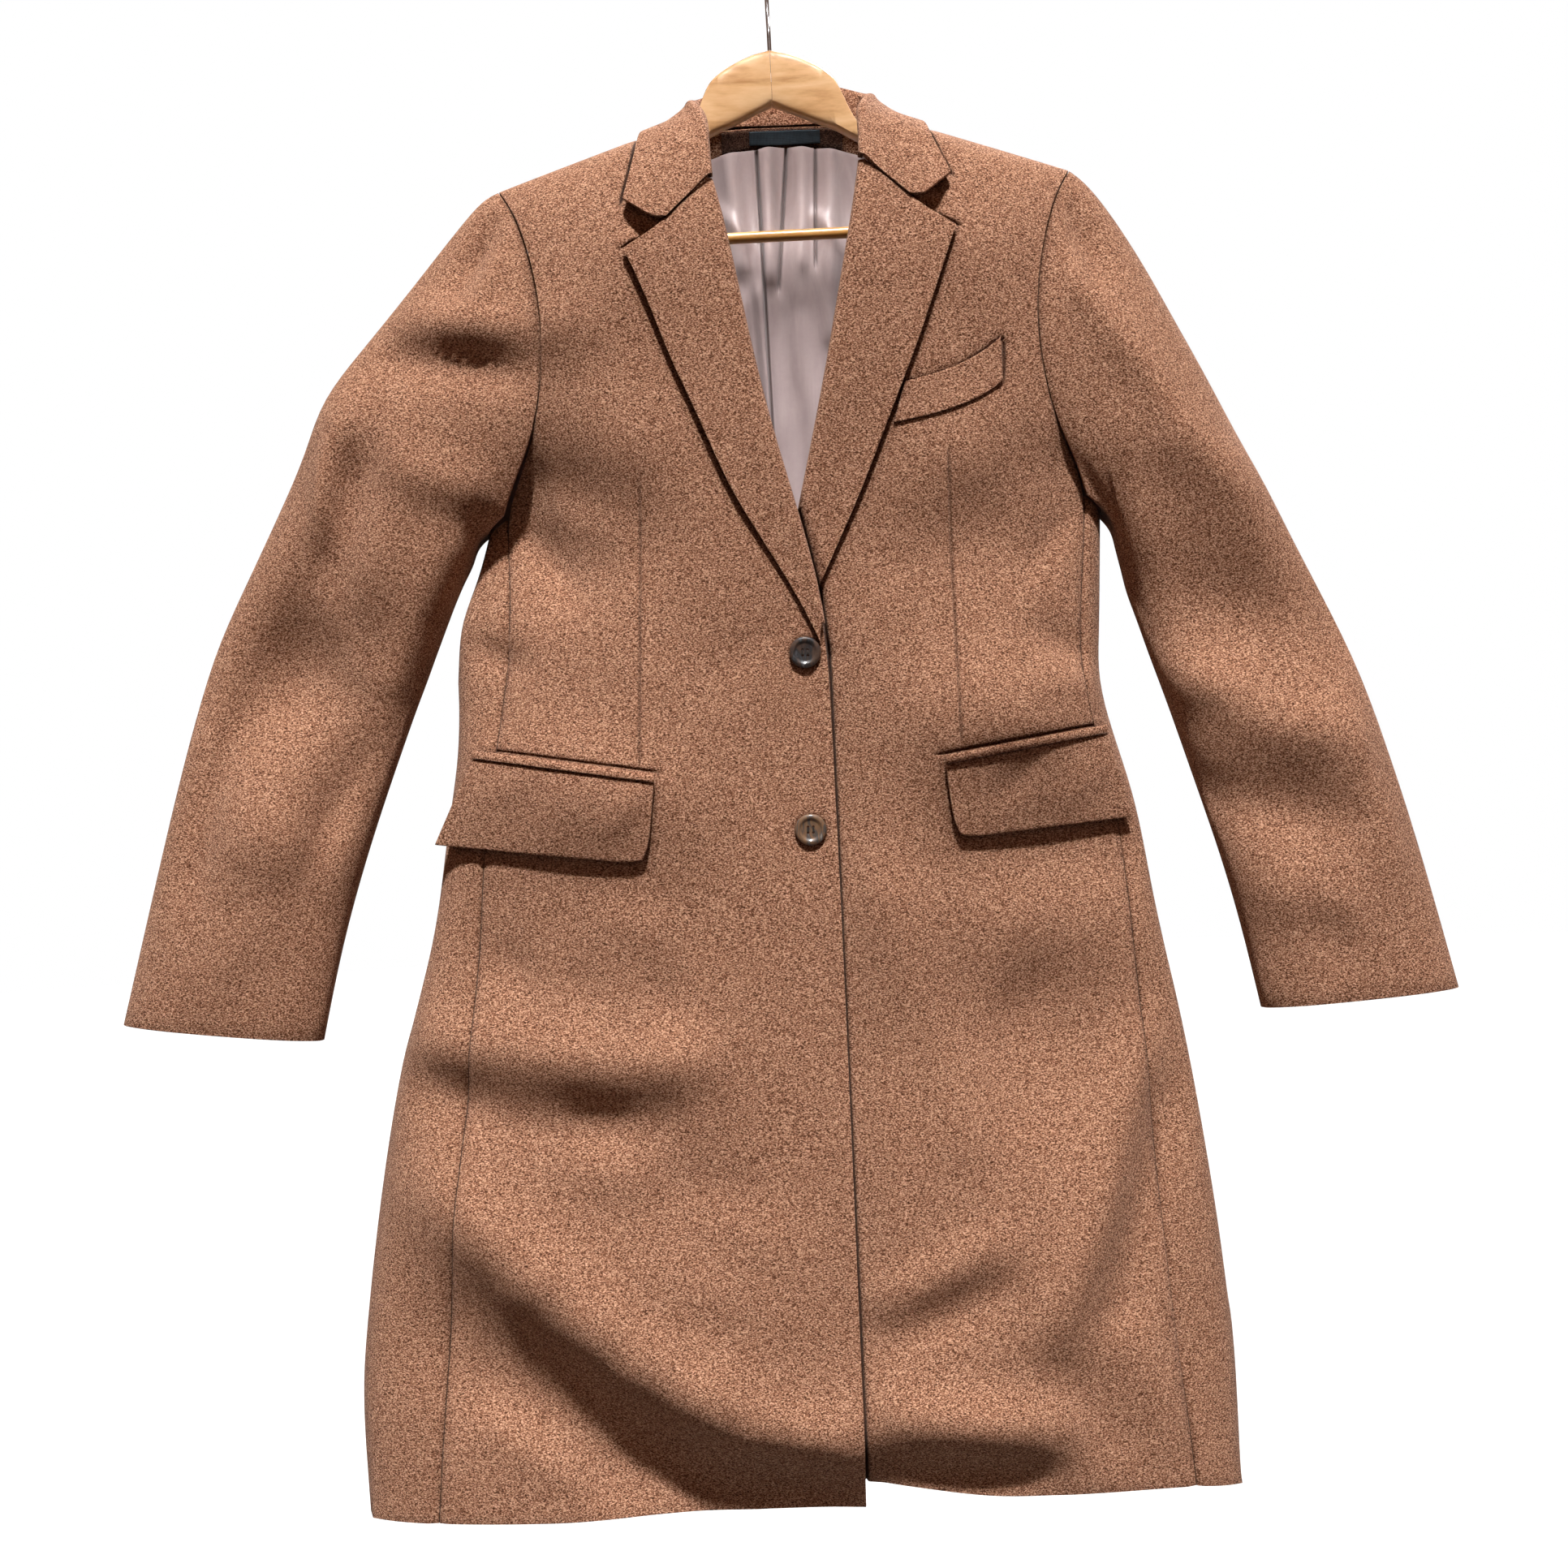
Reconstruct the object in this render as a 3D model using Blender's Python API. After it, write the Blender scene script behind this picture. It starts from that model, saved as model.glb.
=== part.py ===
"""A single-breasted cashmere overcoat that hangs on a wooden hanger.

The coat is made of the pieces that its maker cuts: two fronts, two side panels, a back, two-piece
sleeves, turned-back lapels, a collar, pocket flaps with their jets, a breast welt, two buttons, and
a back lining with its neck facing and a bare label. Each cloth piece is a wall worked out from short
section tables, which are in millimetres: x from the coat's centre line towards the wearer's left,
height above the hem, and y backwards. The scene's origin is the point of the hook that a rail holds.
"""

import math
from collections import namedtuple

import bmesh
import bpy
from mathutils import Vector

MM = 0.001
RIGHT, LEFT = -1, 1

# Walls and gaps
SEAM = 0.3
CLOTH = 2.2
TURNED = 3.2
SILK = 1.0
LIE = 0.8
ARMHOLE_GAP = 0.6

# The places of the coat's and the hanger's centre lines, at hem height, from the hook's rest point
COAT_PLACE = Vector((7.0, 0.0, -1048.0))
HANGER_PLACE = Vector((0.0, 0.0, -1048.0))

# How the body rounds away to its side folds and over its shoulders
ROUND_ACROSS = 2.6
ROUND_DOWN = 2.2
ROUND_SLEEVE = 2.3
SHOULDER_REACH = 110.0
# Steps over which slopes are measured, in millimetres and in radians
NORMAL_STEP, ANGLE_STEP = 0.4, 0.01

NECK_X, NECK_HEIGHT = 72.0, 939.7
TIP_X, TIP_HEIGHT = 195.0, 899.0
SHOULDER_SLOPE = (NECK_HEIGHT - TIP_HEIGHT) / (TIP_X - NECK_X)
# The back's neck edge: its height in the middle, and how far it dips beside the neck points
BACK_NECK_HEIGHT = 942.5
BACK_NECK_DIP, BACK_NECK_DIP_X = 5.5, 66.0
SEAM_TOP = 674.0
# Round the break each front's edge turns in under its lapel
TUCK_FROM, TUCK_TO = 577.0, 607.0

Section = namedtuple("Section", "height right left front back")
BODY = [
    Section(0, 318, 280, 46, 36),
    Section(75, 320, 279, 46, 36),
    Section(150, 312, 274, 46, 36),
    Section(250, 296, 262, 45, 35),
    Section(320, 281, 251, 44, 34),
    Section(400, 258, 235, 43, 33),
    Section(450, 250, 228, 42, 32),
    Section(490, 243, 219, 41, 31),
    Section(517, 238, 210, 41, 30),
    Section(545, 237, 202, 41, 30),
    Section(590, 236, 205, 42, 31),
    Section(613, 232, 206, 43, 32),
    Section(640, 217, 207, 44, 33),
    Section(664, 211, 208, 45, 34),
    Section(720, 212, 212, 46, 35),
    Section(800, 214, 214, 46, 35),
    Section(960, 214, 214, 44, 34),
]

# Panel edges: how far each lies from the centre line, on the wearer's right and left
Edge = namedtuple("Edge", "height right left")
FRONT_SEAM = [
    Edge(0, 266, 244),
    Edge(160, 251, 229),
    Edge(294, 235, 222),
    Edge(379, 225, 216),
    Edge(447, 219, 211),
    Edge(557, 201, 188),
    Edge(610, 196, 190),
    Edge(674, 198, 196),
    Edge(695, 190, 190),
    Edge(715, 180, 180),
    Edge(735, 173, 173),
    Edge(765, 167, 167),
    Edge(797, 165, 165),
    Edge(824, 168, 168),
    Edge(849, 173, 173),
    Edge(874, 181, 181),
    Edge(899, 195, 195),
]
BACK_SEAM = [
    Edge(0, 254, 226),
    Edge(150, 248, 222),
    Edge(320, 226, 204),
    Edge(450, 203, 185),
    Edge(545, 193, 166),
    Edge(613, 190, 172),
    Edge(674, 188, 187),
    Edge(700, 179, 179),
    Edge(740, 171, 171),
    Edge(797, 167, 167),
    Edge(849, 174, 174),
    Edge(899, 195, 195),
]
# The visible front edges, up the roll of each lapel to the neck point; x is signed here
FRONT_EDGE = [
    Edge(0, 21, -18),
    Edge(300, 20, -18),
    Edge(560, 17, -17),
    Edge(597, 15.5, -15.5),
    Edge(620, 12, -10.5),
    Edge(670, 0.5, 0.5),
    Edge(740, -18, 17.5),
    Edge(800, -29.5, 30.5),
    Edge(858, -39.5, 42.5),
    Edge(896, -48.5, 49.5),
    Edge(922, -60, 61),
    Edge(939.7, -72, 72),
]
# How far the left front's hem is drawn up, by distance from the centre line
Lift = namedtuple("Lift", "x lift")
LEFT_HEM = [Lift(-20, 17), Lift(30, 16), Lift(75, 9), Lift(125, 4), Lift(228, 6), Lift(280, 0)]
HEM_REACH = 260.0

SEAM_ROWS = [0, 30, 62, 96, 132, 170, 210, 252, 294, 336, 379, 415, 447, 480, 515, 550, 580, 610, 642, 674]
ARMHOLE_ROWS = [695, 715, 735, 765, 797, 824, 849, 874, 887, 894.5, 898, 899]
FRONT_COLUMNS = 11
SIDE_COLUMNS = 7
# Where the back's columns end along the neck and the shoulder, from the centre line
BACK_COLUMNS = [0, 22, 44, BACK_NECK_DIP_X, NECK_X, 101, 133, 164, TIP_X]
SIDE_TOP_DIP, SIDE_DIP_FROM = 10.0, 560.0
ROWS_TURN_FROM = 600.0

# Largest folds: a soft ridge, or a trough where rise is below zero, along a line
Fold = namedtuple("Fold", "x1 height1 x2 height2 width rise")
FRONT_FOLDS = [
    Fold(-268, 321, -92, 303, 28, 9),
    Fold(-245, 284, -150, 240, 26, -4),
    Fold(-255, 228, -70, 86, 38, 12),
    Fold(-18, 72, 12, 60, 28, 6),
    Fold(-225, 112, -110, 26, 32, -6),
    Fold(-183, 663, -153, 625, 14, -4),
    Fold(-212, 590, -208, 556, 18, -6),
    Fold(-205, 512, -112, 500, 40, 5),
    Fold(-110, 700, -95, 640, 52, 4),
    Fold(178, 560, 192, 540, 18, -6),
    Fold(105, 528, 190, 536, 40, 5),
    Fold(120, 352, 196, 336, 46, -6),
    Fold(218, 300, 150, 112, 26, 7),
    Fold(44, 60, 146, 48, 26, 7),
    Fold(110, 690, 100, 640, 50, 3),
]
BACK_FOLDS = [
    Fold(-170, 560, -90, 530, 24, -5),
    Fold(80, 545, 160, 565, 24, -5),
    Fold(-190, 330, -40, 300, 30, 7),
    Fold(-30, 240, 110, 180, 34, 8),
    Fold(-160, 170, -60, 90, 30, 7),
    Fold(120, 320, 170, 210, 26, 6),
    Fold(-120, 800, -40, 760, 40, 4),
    Fold(40, 765, 120, 800, 40, 4),
]
LINING_FOLDS = [
    Fold(-18, 930, -12, 660, 7, 4.5),
    Fold(6, 930, 5, 780, 5, 3.5),
    Fold(25, 930, 20, 690, 8, 4),
    Fold(-40, 930, -34, 780, 8, 3),
    Fold(0, 640, 0, 120, 12, 3),
]

# How far the left front lies back under the right one, and where that ends
UNDER_DROP = 4.6
LAPEL_DROP = 7.4
DROP_FULL_X, DROP_END_X = 30.0, 95.0
UNDER_END, UNDER_FADE = 640.0, 60.0
BREAK_FROM, BREAK_GROW = 540.0, 50.0
BREAK_END, BREAK_FADE = 690.0, 80.0

# Lapels from the gorge to the break: the visible roll line and the outer edge
Lapel = namedtuple("Lapel", "roll_x roll_height edge_x edge_height")
LAPEL_RIGHT = [
    Lapel(-47.5, 891, -108.5, 845),
    Lapel(-42, 868, -101, 829),
    Lapel(-36.5, 840, -91, 803),
    Lapel(-29.5, 800, -79, 769),
    Lapel(-22, 760, -67, 742),
    Lapel(-13, 720, -55, 712),
    Lapel(-5, 690, -43, 683),
    Lapel(1.5, 665, -31, 662),
    Lapel(6.5, 645, -20, 643),
    Lapel(10.3, 628, -10, 624),
    Lapel(13.3, 612, -1, 605),
    Lapel(15, 602, 6, 593),
]
LAPEL_LEFT = [
    Lapel(49.5, 900, 112.5, 853),
    Lapel(45, 872, 105.5, 834),
    Lapel(39.5, 845, 96, 808),
    Lapel(31, 804, 84.5, 777),
    Lapel(22, 760, 72, 748),
    Lapel(13, 722, 60, 720),
    Lapel(6, 692, 47, 689),
    Lapel(0, 668, 36, 665),
    Lapel(-5, 646, 26, 645),
    Lapel(-9.5, 625, 16, 624),
    Lapel(-13, 609, 8, 608),
]
NOTCH = {RIGHT: (-82.5, 860.0), LEFT: (86.6, 869.0)}
NOTCH_SHARE = 0.57
GORGE_GAP = 0.9
LAPEL_COLUMNS = 7
ROLL_GAP = 0.9
ROLL_RADIUS = 4.2
ROLL_STEPS = 3
LAPEL_SPRING, LAPEL_SPRING_SHARE = 1.6, 0.7
LAPEL_BEND_ROWS = 2.5
# The left lapel's lower end lies flat under the right front, up to this height
FLAT_BELOW = 690.0

# Collar on the wearer's right, from the gorge to the middle of the back; edges lie on the front,
# on the shoulder seam or on the back
Collar = namedtuple("Collar", "station base_x base_height fold_x fold_y fold_height edge_x edge_height")
COLLAR = [
    Collar(0, 47.5, 892.8, 47.5, -41.3, 894.2, 107, 878.5),
    Collar(1, 56, 914, 49.5, -35, 918, 103, 893),
    Collar(2, 65, 929, 53.5, -22, 943, 98, 913),
    Collar(3, 74, 941, 62, -3, 957, 93, 931),
    Collar(4, 60, 939.5, 58, 15, 962, 82, 923),
    Collar(5, 28, 943, 31, 22, 972, 47, 924),
    Collar(6, 0, 943.5, 0, 24, 976, 0, 923),
]
CollarFrame = namedtuple("CollarFrame", "base centre apex over edge")
# Between these stations the collar's edge crosses the shoulder
COLLAR_OVER_FROM, COLLAR_OVER_TO = 2.0, 4.0
# The fold leans into the V at the gorge and stands upright from this station on
COLLAR_UPRIGHT, COLLAR_LEAN = 3.0, 0.6
# How many stations up the collar the notch's bend runs out
NOTCH_REACH = 1.6
COLLAR_STEPS = 2
COLLAR_REACH = TURNED + 1.8
# Where the shoulders' face is flatter than this slope a point is moved off it, and else off the front or back
SHOULDER_STEEP, CLEAR_TRIES = 1.2, 8
COLLAR_RADIUS = 4.6
COLLAR_STAND_COLUMNS = 3
COLLAR_FOLD_COLUMNS = 5
COLLAR_FALL_COLUMNS = 6
# The left half of the collar sits higher and wider at the front
COLLAR_LEFT_LIFT, COLLAR_LEFT_WIDE, COLLAR_LEFT_FOLD = 10.0, 3.0, 2.0
COLLAR_LIFT_END = 3.0

# Sleeves: outer and inner edges and how deep the tube is, from the shoulder to the cuff
Sleeve = namedtuple("Sleeve", "outer_x outer_height inner_x inner_height front back")
SLEEVE_RIGHT = [
    Sleeve(206, 893, 217, 660, 35, 28),
    Sleeve(222, 874, 220, 653, 38, 30),
    Sleeve(243, 850, 223, 643, 40, 31),
    Sleeve(268, 821, 229, 633, 40, 31),
    Sleeve(295, 791, 236, 618, 39, 30),
    Sleeve(319, 763, 243, 601, 38, 29),
    Sleeve(332, 727, 250, 584, 36, 28),
    Sleeve(354, 682, 258, 564, 35, 27),
    Sleeve(379, 634, 264, 550, 34, 26),
    Sleeve(402, 590, 270, 535, 33, 26),
    Sleeve(421, 530, 286, 494, 31, 25),
    Sleeve(438, 470, 303, 448, 30, 24),
    Sleeve(456, 403, 322, 389, 28, 23),
    Sleeve(473, 340, 337, 324, 26, 22),
]
SLEEVE_LEFT = [
    Sleeve(205, 890, 214, 657, 35, 28),
    Sleeve(218, 872, 216, 648, 38, 30),
    Sleeve(233, 849, 218, 637, 40, 31),
    Sleeve(248, 823, 221, 624, 40, 31),
    Sleeve(263, 793, 224, 608, 39, 30),
    Sleeve(280, 760, 230, 591, 38, 29),
    Sleeve(301, 716, 236, 571, 36, 28),
    Sleeve(326, 665, 242, 553, 35, 27),
    Sleeve(351, 614, 249, 532, 34, 26),
    Sleeve(377, 560, 258, 503, 33, 26),
    Sleeve(396, 500, 270, 464, 31, 25),
    Sleeve(412, 445, 281, 428, 30, 24),
    Sleeve(427, 385, 293, 382, 28, 23),
    Sleeve(440, 331, 305, 322, 26, 22),
]
# Over how many rings the armhole's shape runs out, at the shoulder and under the arm
SLEEVE_MERGE = 6
UNDERARM_MERGE = 1.4
# How far the sleeve's head stands out past the armhole
SLEEVE_PUFF = 3.0
# The sleeves' back has like folds, this much lower
SLEEVE_BACK_SHIFT = 25.0
SLEEVE_FOLDS = [
    Fold(-196, 862, -204, 838, 10, -3.5),
    Fold(-212, 806, -206, 796, 22, 5),
    Fold(-256, 800, -178, 786, 13, -4),
    Fold(-272, 788, -290, 684, 20, -6),
    Fold(-317, 708, -318, 672, 13, 5),
    Fold(-262, 640, -300, 560, 20, 4),
    Fold(-292, 540, -345, 440, 18, -6),
    Fold(-352, 540, -372, 430, 18, 5),
    Fold(-395, 520, -420, 440, 16, -4),
    Fold(192, 862, 186, 838, 10, -3.5),
    Fold(197, 780, 202, 770, 20, 4),
    Fold(238, 706, 292, 600, 20, -5),
    Fold(286, 690, 322, 610, 16, 4),
    Fold(300, 530, 345, 440, 20, -5),
    Fold(340, 500, 378, 420, 18, 4),
]

# Pocket flaps: corners on the front and the side panel
Flap = namedtuple("Flap", "top_inner bottom_inner top_outer bottom_outer")
FLAPS = {
    RIGHT: Flap((-101, 491), (-108, 437), (-224, 512), (-253, 455)),
    LEFT: Flap((92, 496), (98, 446), (203, 513), (219, 456)),
}
FLAP_COLUMNS, FLAP_ROWS = 12, 5
FLAP_CORNER = 3.0
FLAP_STAND = 1.6
JET_HEIGHT = 5.5
JET_THICK = 2.0
JET_ROUND = 0.8
# Past this share of the body's half width a flap runs straight on
FLAP_STRAIGHT, FLAP_SLOPE_STEP = 0.90, 8.0

# Breast welt: three points along its top and its bottom
WELT_TOP = [(74.6, 751), (113, 762), (140, 779)]
WELT_BOTTOM = [(66.2, 724), (112, 734), (140.5, 750)]
WELT_COLUMNS, WELT_ROWS = 9, 4
WELT_THICK = 2.4

# Buttons
BUTTON_PLACES = {"button_upper": (1.8, 574.0), "button_lower": (1.0, 456.0)}
BUTTON_SEGMENTS = 24
# Radius, and distance from the cloth
BUTTON_PROFILE = [
    (0.0, 0.5), (1.2, 0.5), (1.2, 2.4), (9.4, 2.4), (10.5, 3.2), (10.5, 4.4),
    (9.7, 5.2), (8.4, 5.2), (6.8, 4.4), (0.0, 4.4),
]
BUTTON_HOLES, BUTTON_HOLE_RADIUS, BUTTON_HOLE_RING = 4, 1.1, 2.6
BUTTON_TURN = math.radians(30)

# Back lining, neck facing and label, all inside the back
LINING_X = [-150, -104, -68, -50, -41, -33, -25, -18, -11, -4, 2, 7, 13, 19, 25, 33, 42, 52, 70, 104, 150]
LINING_ROWS = [30, 120, 220, 330, 440, 540, 620, 690, 750, 800, 845, 880, 905, 930]
# Past this x the lining narrows towards the neck; below this height it hangs free of the back
LINING_STRAIGHT_X, LINING_NARROW = 50.0, 0.62
LINING_FREE, LINING_HANG = 860.0, 7.0
FACING_HALF, FACING_COLUMNS = 42.0, 12
FACING_GAP = 0.7
FACING_THICK = 1.2
LINING_TOP, LINING_FALL = 930.0, 0.0028
LABEL_FROM, LABEL_TO = -23.0, 27.0
LABEL_BOTTOM, LABEL_DROP = 931.6, 1.4
LABEL_THICK, LABEL_COLUMNS = 0.8, 8

# Hanger: one arm from the middle outwards, with the foot that holds the bar
Arm = namedtuple("Arm", "x top bottom half")
ARM = [
    Arm(0.15, 988, 951, 6.5),
    Arm(14, 985.5, 944.5, 6.5),
    Arm(28, 979.5, 938.5, 6.5),
    Arm(40, 971.5, 933.5, 6.5),
    Arm(44, 966, 931.5, 6.5),
    Arm(48, 957.5, 929, 6.5),
    Arm(52, 947, 926.5, 6.5),
    Arm(57, 937, 923.5, 6.5),
    Arm(66, 930.5, 919.5, 6.5),
    Arm(88, 927, 913, 6.5),
    Arm(110, 923.2, 908, 6.4),
    Arm(130, 917, 901.5, 6.2),
    Arm(153.6, 908.6, 893, 6),
    Arm(154, 908.4, 857, 6),
    Arm(165, 904.4, 857, 6),
    Arm(165.4, 904.2, 889, 6),
    Arm(174, 900.5, 886, 5.5),
    Arm(178, 897, 889, 4),
]
# The hanger hangs a little higher on the wearer's left, as the coat sits off its middle
HANGER_TILT = math.radians(-0.75)
ARM_CHAMFER = 2.6
BAR_HEIGHT, BAR_RADIUS = 862.0, 4.0
BAR_SEGMENTS = 16
WIRE_RADIUS = 1.5
HOOK_RADIUS = 20.0
HOOK_CENTRE = 1048.0 + WIRE_RADIUS - HOOK_RADIUS
STEM_FOOT, STEM_TOP = 974.0, 1000.0
HOOK_FROM, HOOK_TO = math.radians(-55), math.radians(208)
HOOK_STEPS = 20
BORE_RADIUS = WIRE_RADIUS + SEAM
BORE_FOOT = STEM_FOOT - 0.5

FINISHES = {
    "cashmere": ((0.27, 0.135, 0.075, 1.0), 0.95, 0.0),
    "satin": ((0.52, 0.40, 0.37, 1.0), 0.35, 0.0),
    "woven_label": ((0.012, 0.018, 0.028, 1.0), 0.5, 0.0),
    "horn": ((0.035, 0.03, 0.028, 1.0), 0.25, 0.0),
    "wood": ((0.60, 0.34, 0.14, 1.0), 0.45, 0.0),
    "steel": ((0.55, 0.55, 0.56, 1.0), 0.3, 1.0),
}


# Curves and small sums


def mix(a, b, share):
    """The value that lies a share of the way from a to b."""
    return a + (b - a) * share


def ease(value):
    """A smooth step from 0 to 1."""
    value = min(max(value, 0.0), 1.0)
    return value * value * (3 - 2 * value)


def steepness(table, row, column):
    """A column's slope at a row, which never overshoots the rows beside it."""
    if row in (0, len(table) - 1):
        low = min(row, len(table) - 2)
        return (table[low + 1][column] - table[low][column]) / (table[low + 1][0] - table[low][0])
    before = (table[row][column] - table[row - 1][column]) / (table[row][0] - table[row - 1][0])
    after = (table[row + 1][column] - table[row][column]) / (table[row + 1][0] - table[row][0])
    if before * after <= 0:
        return 0.0
    return 2 * before * after / (before + after)


def row_at(table, value):
    """The table's row at a value of its first column, on a smooth curve through its rows."""
    value = min(max(value, table[0][0]), table[-1][0])
    low = 0
    while low < len(table) - 2 and table[low + 1][0] <= value:
        low += 1
    first, last = table[low], table[low + 1]
    span = last[0] - first[0]
    t = (value - first[0]) / span
    columns = [value]
    for column in range(1, len(first)):
        start = steepness(table, low, column) * span
        end = steepness(table, low + 1, column) * span
        step = last[column] - first[column]
        curve = 3 * step - 2 * start - end + t * (start + end - 2 * step)
        columns.append(first[column] + t * (start + t * curve))
    return type(first)(*columns)


def power_arc(share, power):
    """The height of a rounded profile at a share of its half width."""
    return (1 - min(abs(share), 1.0) ** power) ** (1 / power)


def relief(folds, x, height):
    """How far the folds stand out at a point."""
    total = 0.0
    for fold in folds:
        along_x, along_h = fold.x2 - fold.x1, fold.height2 - fold.height1
        length = along_x * along_x + along_h * along_h
        share = ((x - fold.x1) * along_x + (height - fold.height1) * along_h) / length
        share = min(max(share, 0.0), 1.0)
        away_x = x - fold.x1 - share * along_x
        away_h = height - fold.height1 - share * along_h
        total += fold.rise * math.exp(-(away_x * away_x + away_h * away_h) / fold.width**2)
    return total


# The coat's body


def half_width(x, height):
    """The body's half width on the side that x lies on."""
    section = row_at(BODY, height)
    return section.right if x < 0 else section.left


def shoulder_height(x):
    """The height of the shoulder seam, carried on over the neck."""
    return NECK_HEIGHT - SHOULDER_SLOPE * (abs(x) - NECK_X)


def fullness(x, height):
    """How much of the body's depth is left at a point, from 1 in the middle to 0 at an edge."""
    across = power_arc(x / half_width(x, height), ROUND_ACROSS)
    drop = min(max(shoulder_height(x) - height, 0.0) / SHOULDER_REACH, 1.0)
    return across * power_arc(1 - drop, ROUND_DOWN)


def front_y(x, height):
    """The depth of the fronts' outer face."""
    return -fullness(x, height) * (row_at(BODY, height).front + relief(FRONT_FOLDS, x, height))


def back_y(x, height):
    """The depth of the back's outer face."""
    return fullness(x, height) * (row_at(BODY, height).back + relief(BACK_FOLDS, x, height))


def left_front_y(x, height):
    """The depth of the left front, which lies back where the right one covers it."""
    near_break = ease((height - BREAK_FROM) / BREAK_GROW) * (1 - ease((height - BREAK_END) / BREAK_FADE))
    below = 1 - ease((height - UNDER_END) / UNDER_FADE)
    drop = max(UNDER_DROP * below, LAPEL_DROP * near_break)
    return front_y(x, height) + drop * (1 - ease((x - DROP_FULL_X) / (DROP_END_X - DROP_FULL_X)))


def facing_out(depth, x, height, towards):
    """The outward normal of a depth function; towards is -1 on the front and 1 on the back."""
    step = NORMAL_STEP
    by_x = (depth(x + step, height) - depth(x - step, height)) / (2 * step)
    by_height = (depth(x, height + step) - depth(x, height - step)) / (2 * step)
    return Vector((-towards * by_x, towards, -towards * by_height)).normalized()


def shoulder_normal(side):
    """The outward normal on the shoulder seam."""
    return Vector((side * SHOULDER_SLOPE, 0, 1)).normalized()


def column_of(side):
    """The name of a table's column for one side."""
    return "left" if side == LEFT else "right"


def edge_x(table, side, height):
    """The x of a panel edge that is given as a distance from the centre line."""
    return side * getattr(row_at(table, height), column_of(side))


def hem_lift(x, height):
    """How far the left front's hem is drawn up."""
    return row_at(LEFT_HEM, x).lift * (1 - ease(height / HEM_REACH))


# Making walls and other meshes


def finish(name):
    """The material of a finish, made once."""
    material = bpy.data.materials.get(name)
    if material is None:
        colour, roughness, metallic = FINISHES[name]
        material = bpy.data.materials.new(name)
        material.use_nodes = True
        shader = material.node_tree.nodes["Principled BSDF"]
        shader.inputs["Base Color"].default_value = colour
        shader.inputs["Roughness"].default_value = roughness
        shader.inputs["Metallic"].default_value = metallic
        material.diffuse_color = colour
    return material


def place(name, bm, parent, finish_name):
    """An object of a mesh that is in millimetres, under its parent."""
    bmesh.ops.recalc_face_normals(bm, faces=bm.faces)
    if bm.calc_volume(signed=True) < 0:
        bmesh.ops.reverse_faces(bm, faces=bm.faces)
    bmesh.ops.scale(bm, vec=(MM, MM, MM), verts=bm.verts)
    mesh = bpy.data.meshes.new(name)
    bm.to_mesh(mesh)
    bm.free()
    mesh.shade_smooth()
    mesh.set_sharp_from_angle(angle=math.radians(40))
    mesh.materials.append(finish(finish_name))
    thing = bpy.data.objects.new(name, mesh)
    bpy.context.scene.collection.objects.link(thing)
    thing.parent = parent
    return thing


def add_wall(name, outer, inner, parent, finish_name):
    """A closed wall between two grids of points, each a list of rows."""
    rows, columns = len(outer), len(outer[0])
    bm = bmesh.new()
    bmesh.ops.create_grid(bm, x_segments=columns - 1, y_segments=rows - 1, size=1.0)
    faces = list(bm.faces)
    front = sorted(bm.verts, key=lambda v: (round(v.co.y, 5), v.co.x))
    copy = bmesh.ops.duplicate(bm, geom=list(bm.verts) + list(bm.edges) + faces)
    behind = [copy["vert_map"][v] for v in front]
    bmesh.ops.reverse_faces(bm, faces=[f for f in copy["geom"] if isinstance(f, bmesh.types.BMFace)])
    for index in range(rows * columns):
        row, column = divmod(index, columns)
        front[index].co = outer[row][column]
        behind[index].co = inner[row][column]
    rim = list(range(columns))
    rim += [row * columns + columns - 1 for row in range(1, rows)]
    rim += [(rows - 1) * columns + column for column in range(columns - 2, -1, -1)]
    rim += [row * columns for row in range(rows - 2, 0, -1)]
    for here, there in zip(rim, rim[1:] + rim[:1]):
        bm.faces.new((front[there], front[here], behind[here], behind[there]))
    return place(name, bm, parent, finish_name)


def add_sheet(name, points, normals, thickness, parent, finish_name):
    """A wall whose inner face lies a thickness behind its outer one."""
    inner = [[p - n * thickness for p, n in zip(*pair)] for pair in zip(points, normals)]
    return add_wall(name, points, inner, parent, finish_name)


def grid_normals(points, towards):
    """Normals of a grid from its own points, all on the side that towards points to."""
    rows, columns = len(points), len(points[0])
    normals = []
    for row in range(rows):
        line = []
        for column in range(columns):
            across = points[row][min(column + 1, columns - 1)] - points[row][max(column - 1, 0)]
            along = points[min(row + 1, rows - 1)][column] - points[max(row - 1, 0)][column]
            line.append(across.cross(along).normalized() * towards)
        normals.append(line)
    return normals


# Body panels


def inner_height(height):
    """The height of a front's row at its inner edge, where the rows turn up to the shoulder."""
    if height <= ROWS_TURN_FROM:
        return height
    rise = (NECK_HEIGHT - ROWS_TURN_FROM) / (TIP_HEIGHT - ROWS_TURN_FROM)
    return ROWS_TURN_FROM + (height - ROWS_TURN_FROM) * rise


def panel_edge_x(side, height):
    """The x of a front's own edge, which lies inside the roll of its lapel above the break."""
    visible = edge_x(FRONT_EDGE, LEFT, height) if side == LEFT else row_at(FRONT_EDGE, height).right
    tucked = (ROLL_GAP + TURNED) * ease((height - TUCK_FROM) / (TUCK_TO - TUCK_FROM))
    return visible + side * tucked


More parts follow.
